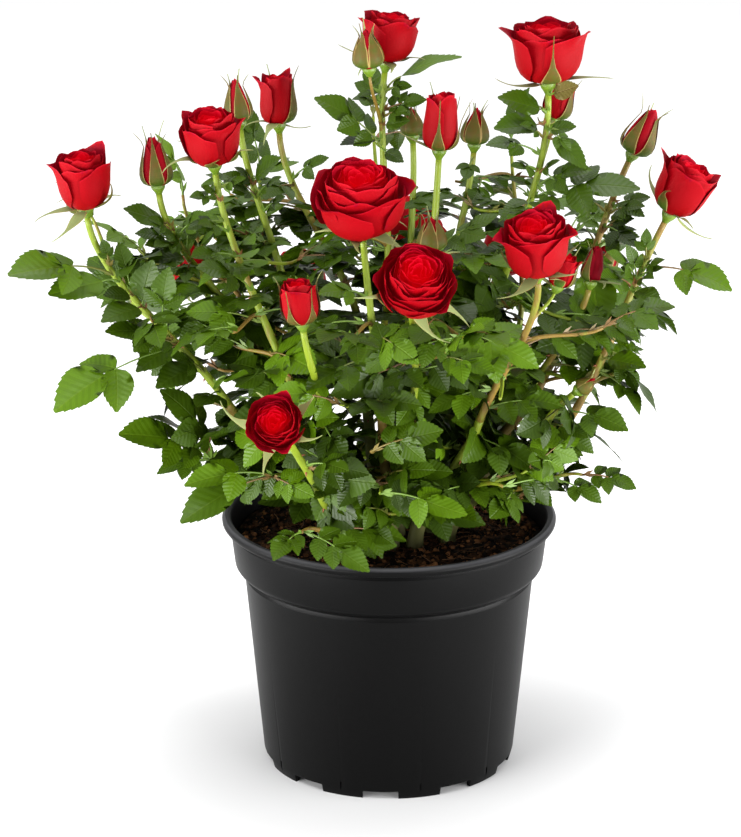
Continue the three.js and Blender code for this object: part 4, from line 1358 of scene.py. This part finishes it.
# %% Bending all leaflets of one tone at once
def add_leaflets(heap, rows):
    """rows: root, direction, face, length and seed of each leaflet."""
    root, ahead, face = (np.array([row[i] for row in rows]) for i in range(3))
    length = np.array([row[3] for row in rows])[:, None]
    chance = np.array([[draw(row[4], 9, kind) for kind in range(6)] for row in rows])
    across = np.cross(ahead, face)
    across /= np.linalg.norm(across, axis=1)[:, None]
    face = np.cross(across, ahead)
    u, v = outline[:, 0], outline[:, 1]
    width = length * LEAFLET["width"] / 2 * mix(0.86, 1.1, chance[:, :1])
    fold = mix(0.05, 0.36, chance[:, 1:2])
    droop = mix(0.0, 0.2, chance[:, 2:3])
    wave = mix(0.0, 0.035, chance[:, 3:4])
    rise = width * fold * np.abs(u) ** 1.25 - length * droop * v**2.2
    rise = rise + length * wave * np.abs(u) * np.sin(9 * v + 6.3 * chance[:, 4:5] + 1.5 * np.sign(u))
    curl = length * mix(-0.08, 0.08, chance[:, 5:6]) * v**2
    points = (
        root[:, None]
        + ahead[:, None] * (v * length * (1 - 0.06 * v))[..., None]
        + across[:, None] * (u * width + curl)[..., None]
        + face[:, None] * rise[..., None]
    )
    marks = np.zeros(points.shape)
    marks[..., 0], marks[..., 1] = u, v
    marks[..., 2] = chance[:, 4:5]
    offsets = (np.arange(len(rows)) * len(outline))[:, None, None]
    quads = (outline_quads + offsets).reshape(-1, 4)
    triangles = (outline_triangles + offsets).reshape(-1, 3)
    heap.add(points, marks.reshape(-1, 3), quads, triangles)


# %% [markdown]
# Leaves differ in tone by their age and their light. Deep green inside and low down is painted shade,
# brighter green outside is painted light, and fresh yellow-green on young leaves is their own colour.
# Each tone is a plain colour of its own, dealt out leaf by leaf.

# %% Tones
# deep, green and bright are one green painted darker and lighter: painted shade and painted light.
TONES_AND_PAINTED_LIGHT = {  # colour between the veins, colour of the veins
    "deep": (linear(34, 51, 2), linear(57, 76, 10)),
    "green": (linear(48, 70, 2), linear(76, 96, 13)),
    "bright": (linear(64, 91, 3), linear(94, 118, 16)),
    "fresh": (linear(84, 114, 10), linear(116, 142, 32)),
    "flushed": (linear(92, 84, 40), linear(126, 92, 58)),
}


def tone_and_painted_light_of(leaf):
    """A tone by how far out and how high a leaf grows, with a draw: painted shade inside and low, painted
    light outside and high.
    """
    if leaf.known:
        return leaf.known
    root = leaf.midrib.points[-1]
    light = np.hypot(root[0], root[1] / CROWN["depth_share"]) / 170
    light = 0.5 * light + 0.4 * (root[2] - POT_HEIGHT) / 216 + 0.6 * draw(leaf.seed, 8, 1)
    return "deep" if light < 0.52 else "green" if light < 0.86 else "bright" if light < 1.16 else "fresh"


def leaf_finish(name, lamina, vein):
    """Glossy green with pale side veins that run forward, and quilted relief between them."""
    finish = Finish(name, Specular_IOR_Level=0.22)
    u, v, chance = finish.marks()
    out = u.maths("ABSOLUTE")
    ribs = (v - out * 0.24) * 8.0
    ridge = ribs.maths("PINGPONG", 0.5) * 2.0
    side_vein = 1 - finish.span(ridge, 0.0, 0.2)
    midrib = 1 - finish.span(out, 0.02, 0.08)
    veins = (side_vein * 0.45).maths("MAXIMUM", midrib)
    mottle = finish.noise(0.006, 3)
    varied = finish.colour(mottle * 0.5 + chance * 0.5, lamina, [c * 1.35 for c in lamina[:3]] + [1])
    finish.relief(ridge * 0.5 - midrib * 0.6 + mottle * 0.4, 0.0002)
    return finish.show(
        Base_Color=finish.colour(veins * 0.2, varied, vein),
        Roughness=0.3 + mottle * 0.14 + chance * 0.12,
    )


by_tone = {tone: [] for tone in TONES_AND_PAINTED_LIGHT}
for leaf in leaves:
    by_tone[tone_and_painted_light_of(leaf)] += [(*leaflet, leaf.seed * 7 + i) for i, leaflet in enumerate(leaf.leaflets)]
for tone, rows in by_tone.items():
    heap = Heap()
    add_leaflets(heap, rows)
    finish = leaf_finish("leaf_" + tone, *TONES_AND_PAINTED_LIGHT[tone])
    heap.piece("leaflets_" + tone, finish, "foliage", masses)

# %% Midribs and stipules
midribs = Heap()
for leaf in leaves:
    line = leaf.midrib.spread(7)
    add_tube(midribs, line, np.linspace(0.62, 0.36, 7), 4, (draw(leaf.seed, 6, 1), 0, 0))
    ahead = leaf.midrib.ahead(0)
    side, over = axis_frame(ahead)
    for turn in (-1, 1):
        start = leaf.midrib.at(0.02)
        wing = start + ahead * 7 + side * turn * 1.9
        blade = np.array([start, start + ahead * 3.4 + side * turn * 1.6, wing, start + ahead * 4])
        midribs.add(blade, (draw(leaf.seed, 6, 1), 0.5, 0), [[0, 1, 2, 3]])
rib_green = Finish("rib_green", Roughness=0.5)
rib_tint = rib_green.marks()[0]
reddish = rib_green.span(rib_tint, 0.35, 1.0)
rib_material = rib_green.show(Base_Color=rib_green.colour(reddish, linear(92, 120, 36), linear(108, 74, 36)))
midribs.piece("leaf_midribs", rib_material, "foliage", masses)

# %% [markdown]
# ## Petals
#
# A rose is a spiral of cupped petals, each turned from the last by the golden angle. The inner ones
# are wrapped tight round the heart and the outer ones lean back, with rims that roll over to a
# point. A petal is a small grid: one way across it, the other up its profile. It has a front and a
# back skin that meet at the rim, because the back is duller and more crimson.

# %% Sheets with two skins
def skins(points, thickness):
    """The two skins of a thin sheet, given as a grid of points: they meet along its rim."""
    down = np.gradient(points, axis=0)
    across = np.gradient(points, axis=1)
    normal = np.cross(across, down)
    normal /= np.maximum(np.linalg.norm(normal, axis=2), 1e-9)[..., None]
    rows, columns = points.shape[:2]
    body = np.zeros((rows, columns))
    body[1:-1, 1:-1] = thickness / 2
    return points + normal * body[..., None], points - normal * body[..., None]


def add_sheet(heap, points, thickness, marks):
    """Adds a sheet to a heap. The third mark becomes 0 on the first skin and 1 on the second."""
    rows, columns = points.shape[:2]
    first, second = skins(points, thickness)
    faces = grid_faces(rows, columns)
    for skin, order, side in ((first, 1, 0), (second, -1, 1)):
        skin_marks = marks.copy()
        skin_marks[..., 2] = side
        heap.add(skin, skin_marks.reshape(-1, 3), faces[:, ::order])


# %% One petal
PETAL_GRID = (10, 13)  # rows up the petal, columns across it
PETAL_THICKNESS = 0.35
SHUT = 0.2  # a bud less open than this has darker petals
DARKEST = ["bud_dark_right"]


def cup(flower, inward, up):
    """Radius and height up the middle of a petal. inward runs from 0 at the heart to 1 outside."""
    radius, height = flower.width / 2, flower.height
    opened = min(1, flower.openness * 2.4)
    outer = max(0, (inward - 0.55) / 0.45)
    belly = radius * mix(0.13, mix(1.0, 0.86, opened), inward**0.8)
    slim = 4 * opened * (1 - opened) * inward
    rim = belly * mix(0.1, mix(0.88, 1.0, inward), opened)
    dome = mix(0.86, 1.0, inward**0.6)
    top = height * mix(1, dome * mix(1, mix(1.0, 0.62, flower.openness**2.2), outer), opened)
    pulls = [(1 - up) ** 3, 3 * up * (1 - up) ** 2, 3 * up**2 * (1 - up), up**3]
    full, neck = mix(1.45, 1.2, opened) + 0.2 * slim, mix(0.95, 1.02, opened) - 0.3 * slim
    widths = (radius * 0.13, belly * full, belly * neck, rim)
    heights = (0, height * 0.02, top * mix(0.45, 0.62, opened), top)
    out = sum(p * w for p, w in zip(pulls, widths))
    rise = sum(p * h for p, h in zip(pulls, heights))
    flare = min(1, max(0, flower.openness - 0.2) * 4 + slim * 0.5)
    rolled = np.clip((up - 0.62) / 0.38, 0, 1.3) ** 2 * flare
    out = out + rolled * radius * mix(0.04, 0.13, outer**1.5)
    rise = rise - rolled * height * mix(0, 0.12, outer * flower.openness**2)
    return out, rise


def petal_points(flower, turn, inward, seed):
    """A petal's grid of points, and how far up the petal each row is."""
    t = np.linspace(0, 1, PETAL_GRID[0])[:, None]
    s = np.linspace(-1, 1, PETAL_GRID[1])[None, :]
    radius, opened = flower.width / 2, min(1, flower.openness * 2.4)
    outer = max(0, (inward - 0.55) / 0.45)
    pointed = opened * outer**2 * (1.15 - flower.openness)
    up = t * (1 - mix(0.07, mix(0.14, 0.24, flower.openness), outer) * np.abs(s) ** mix(3, 2.4, outer))
    up = up + 0.1 * pointed * t**2 * np.exp(-((s / 0.2) ** 2))
    up = up * mix(0.95 - 0.04 * outer, 1.03, draw(seed, 2, 21))
    out, rise = cup(flower, inward, up)
    high = np.clip(up * 2 - 0.8, 0, 1.3) ** 1.5
    tip = np.clip((up - 0.74) / 0.3, 0, 1.4) ** 2 * np.exp(-((s / 0.28) ** 2)) * pointed
    out = out + tip * radius * 0.55
    spiral = mix(0.16, 0.05, inward) * s * np.clip(up * 2, 0, 1)
    out = out * (1 + spiral + mix(-0.02, 0.02, draw(seed, 1, 21)))
    out = out + radius * high * opened * outer * 0.09 * np.abs(s) ** 3
    ripple = np.sin(5.5 * s + 6.3 * draw(seed, 3, 21)) + 0.6 * np.sin(9 * s + 6.3 * draw(seed, 5, 21))
    out = out + ripple * high * radius * mix(0.018, 0.036, flower.openness) * opened
    rise = rise + np.sin(6 * s + 6.3 * draw(seed, 4, 21)) * high * flower.height * 0.026 * opened
    wrap = math.radians(mix(125, 58, inward**0.7))
    taper = 1 - 0.14 * opened * outer * np.clip((up - 0.55) / 0.45, 0, 1) ** 1.5
    angle = turn + s * wrap * taper * np.clip(up / 0.5, 0.12, 1) ** 0.6
    return flower.place(out, rise + flower.hip * 0.82, angle + 0 * up), t


def add_petals(heap, name, seed):
    """Adds a flower's petals. The second mark is 0 outside and 1 inside, or more on a bud."""
    flower = flowers[name]
    shut_mark = 2 if name in DARKEST else 1.5
    count = int(mix(10, 34, min(1, flower.openness * 1.15)))
    for k in range(count):
        inward = k / (count - 1)
        turn = math.radians(GOLDEN_ANGLE * k + 40 * seed)
        points, up = petal_points(flower, turn, inward, seed * 50 + k)
        marks = np.zeros(points.shape)
        marks[..., 0] = up
        marks[..., 1] = inward if flower.openness > SHUT else shut_mark
        add_sheet(heap, points, PETAL_THICKNESS, marks)
    return count


petals = [Heap(), Heap()]
total = 0
for seed, name in enumerate(flowers):
    total += add_petals(petals[seed % 2], name, seed)
print(total, "petals")

# %% [markdown]
# The front of a petal is a clear scarlet, painted darker towards the throat as painted shade, and its rim is
# painted lighter as a painted highlight. The back is a cooler crimson, also painted darker towards its base.
# Sheen gives both the velvet that rose petals have, and a faint glow, brightest at the heart, is painted
# light.

# %% Petal finish
velvet = Finish("petal_velvet", Specular_IOR_Level=0.07, Sheen_Weight=0.02, Sheen_Roughness=0.4)
velvet.shader.inputs["Sheen Tint"].default_value = linear(255, 60, 70)
# The petals glow though they are no lamp: painted light, brightest red at the heart, where it lifts the
# shade in the throat.
velvet.shader.inputs["Emission Strength"].default_value = 0.46
up, inward, back = velvet.marks()
fibre = velvet.noise(0.0012, 3)
# Front and back are painted darker towards the petal's base: painted shade in the throat of the cup.
front = velvet.colour(velvet.span(up, 0.3, 0.95), linear(121, 0, 4), linear(133, 0, 10))
rear = velvet.colour(velvet.span(up, 0.1, 0.9), linear(102, 0, 12), linear(124, 0, 22))
opened = velvet.colour(velvet.span(back, 0.3, 0.7), front, rear)
face = velvet.colour(velvet.span(inward, 1.1, 1.9) * 0.8, opened, linear(92, 0, 18))
# The rim is painted lighter and pinker: a painted highlight.
rim_painted_highlight = velvet.span(up, 0.95, 1.03) * 0.4
velvet.relief(fibre, 0.00006)
velvet_material = velvet.show(
    Base_Color=velvet.colour(rim_painted_highlight, face, linear(206, 26, 48)),
    Emission_Color=velvet.colour(velvet.span(inward, 0.0, 0.6), linear(255, 0, 14), linear(84, 0, 4)),
    Roughness=0.52 + fibre * 0.12,
)
for name, heap in zip(("petals_first", "petals_second"), petals):
    heap.piece(name, velvet_material, "petal", masses)

# %% [markdown]
# ## Hips and sepals
#
# Under the petals sits the hip, a small green urn, and from its rim grow five sepals: narrow
# pointed blades with pale edges and thready tips. Round a bud they clasp the petals; under an open
# rose they stand out or hang back, but a few still lie against the petals.

# %% Hips
HIP_SIDES = 12
HIP_PROFILE = np.array([(1.0, 0.0), (1.25, 0.2), (1.7, 0.45), (1.95, 0.7), (1.75, 0.92), (1.9, 1.0)])
greens = Heap()


def add_hip(heap, flower, seed):
    swell = mix(0.8, 1.25, min(1, flower.width / 40))
    radius = np.interp(HIP_PROFILE[:, 0], (1, 1.95), (SHOOT_RADII[1], SHOOT_RADII[1] + 2.1 * swell))
    points = flower.foot + flower.axis * (HIP_PROFILE[:, 1:] * flower.hip)
    add_tube(heap, points, radius, HIP_SIDES, (0.0, 0.0, draw(seed, 5, 1)))


# %% Sepals
SEPAL_GRID = (12, 5)  # rows along the sepal, columns across it
SEPAL_TIP_HALF = 0.24
SEPAL_THICKNESS = 0.35


def sepal_path(flower, i, seed):
    """Radii and heights from the hip's rim to the sepal's tip, and whether it clasps the petals."""
    share = np.linspace(0, 1, SEPAL_GRID[0])
    start = 1.6 + flower.width * 0.06
    clasped = 1 if flower.openness < 0.15 else 0.4 if flower.openness < 0.4 else 0
    beyond = np.clip(share - 0.74, 0, 1)
    if draw(seed, i, 36) < clasped or i in flower.held:
        length = flower.height * mix(0.9, 1.5, draw(seed, i, 31))
        climb = 0.74 if i in flower.held and flower.openness > SHUT else 1.22
        radius, rise = cup(flower, 1, np.clip(share * climb, 0, 0.9))
        flare = beyond**1.4 * mix(0.2, 1.3, draw(seed, i, 32)) * length
        return np.maximum(radius * 1.05 + 0.5, start) + flare, rise + beyond * length, True
    length = mix(15, 24, draw(seed, i, 31)) * mix(0.85, 1.1, min(1, flower.width / 35))
    lift = math.radians(mix(-22, 38, draw(seed, i, 33)))
    bend = math.radians(mix(-70, 70, draw(seed, i, 34)))
    angle = lift + bend * (share - 0.3)
    stride = length / (len(share) - 1)
    radius = start + np.cumsum(np.cos(angle)) * stride
    rise = np.cumsum(np.sin(angle)) * stride
    side_radius, side_rise = cup(flower, 1, np.linspace(0, 0.9, 20))
    beside = np.interp(rise, side_rise, side_radius, left=0.0, right=0.0)
    return np.maximum(radius, beside * 1.06 + 0.6), rise, False


def add_sepal(heap, flower, i, seed):
    share = np.linspace(0, 1, SEPAL_GRID[0])[:, None]
    s = np.linspace(-1, 1, SEPAL_GRID[1])[None, :]
    radius, rise, clasping = sepal_path(flower, i, seed)
    radius, rise = radius[:, None], rise[:, None]
    if clasping:
        shut = max(0, 1 - flower.openness / 0.12)
        left = np.clip(1 - share / 0.84, 0, 1)
        half = radius * 0.66 * mix(left**1.1, np.minimum(1, left * 2.9) ** 0.8, shut) + SEPAL_TIP_HALF
    else:
        broad = mix(1.8, 3.0, min(1, flower.width / 36))
        belly = 1 + 0.9 * np.sin(math.pi * np.clip(share * 1.6, 0, 1))
        half = broad * (1 - share) ** 1.3 * belly + SEPAL_TIP_HALF
    turn = math.radians(72 * i + flower.turn + 10 * (draw(seed, i, 35) - 0.5))
    drift = 0 if clasping else mix(-0.5, 0.5, draw(seed, i, 37)) * share**2
    angle = turn + drift + s * half / np.maximum(radius, 1.2)
    cup_in = (-0.05 if clasping else -0.25) * half * s**2
    points = flower.place(radius + cup_in + 0 * s, rise + flower.hip * 0.86 + 0 * s, angle)
    marks = np.zeros(points.shape)
    marks[..., 0] = np.abs(s) + 0 * share
    marks[..., 1] = share + 0 * s
    add_sheet(heap, points, SEPAL_THICKNESS, marks)


HELD_SEPALS = {  # heading of the first one, how many are held
    "rose_top_right": (275, 1), "rose_slim_centre": (262, 3), "rose_small_left": (236, 2),
    "bud_left": (272, 5), "bud_upper_left": (285, 5), "bud_right": (235, 5),
}
sepals = Heap()
for seed, (name, flower) in enumerate(flowers.items()):
    add_hip(greens, flower, seed)
    flower.turn = 29 * seed
    if name in HELD_SEPALS:
        heading, count = HELD_SEPALS[name]
        way = leaning(heading, 90)
        flower.turn = math.degrees(math.atan2(np.dot(way, flower.over), np.dot(way, flower.side)))
        flower.held = range(count)
    for i in range(5):
        add_sepal(sepals, flower, i, seed)

hip_green = Finish("hip_green", Roughness=0.42)
hip_tone = hip_green.noise(0.004, 3)
hip_colour = hip_green.colour(hip_tone, linear(72, 102, 16), linear(104, 128, 26))
hip_material = hip_green.show(Base_Color=hip_colour)
greens.piece("hips", hip_material, "sepal", masses)

sepal_green = Finish("sepal_green", Specular_IOR_Level=0.2)
edge, along, inner = sepal_green.marks()
sepal_mottle = sepal_green.noise(0.003, 3)
reddened = sepal_green.span(along, 0.05, 0.5) * sepal_mottle * 0.8
blush = sepal_green.colour(reddened, linear(52, 80, 10), linear(104, 42, 26))
lined = sepal_green.colour(inner * 0.8, blush, linear(140, 154, 98))
pale_edge = sepal_green.span(edge, 0.8, 1.0) * (0.9 - along * 0.5)
sepal_material = sepal_green.show(
    Base_Color=sepal_green.colour(pale_edge, lined, linear(176, 150, 92)),
    Roughness=0.55 + sepal_mottle * 0.1,
)
sepals.piece("sepals", sepal_material, "sepal", masses)

# %% [markdown]
# ## Sizes, and the end
#
# The dressed plant has to stay in the plain model's box, give or take a few millimetres of leaf. Both
# boxes are written out so that they can be compared.

# %% Boxes
low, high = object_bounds()
boxes = {"cad": [list(cad_low), list(cad_high)], "visual": [list(low), list(high)]}
for name, (lowest, highest) in boxes.items():
    print(name, [round(v, 3) for v in lowest], [round(v, 3) for v in highest])
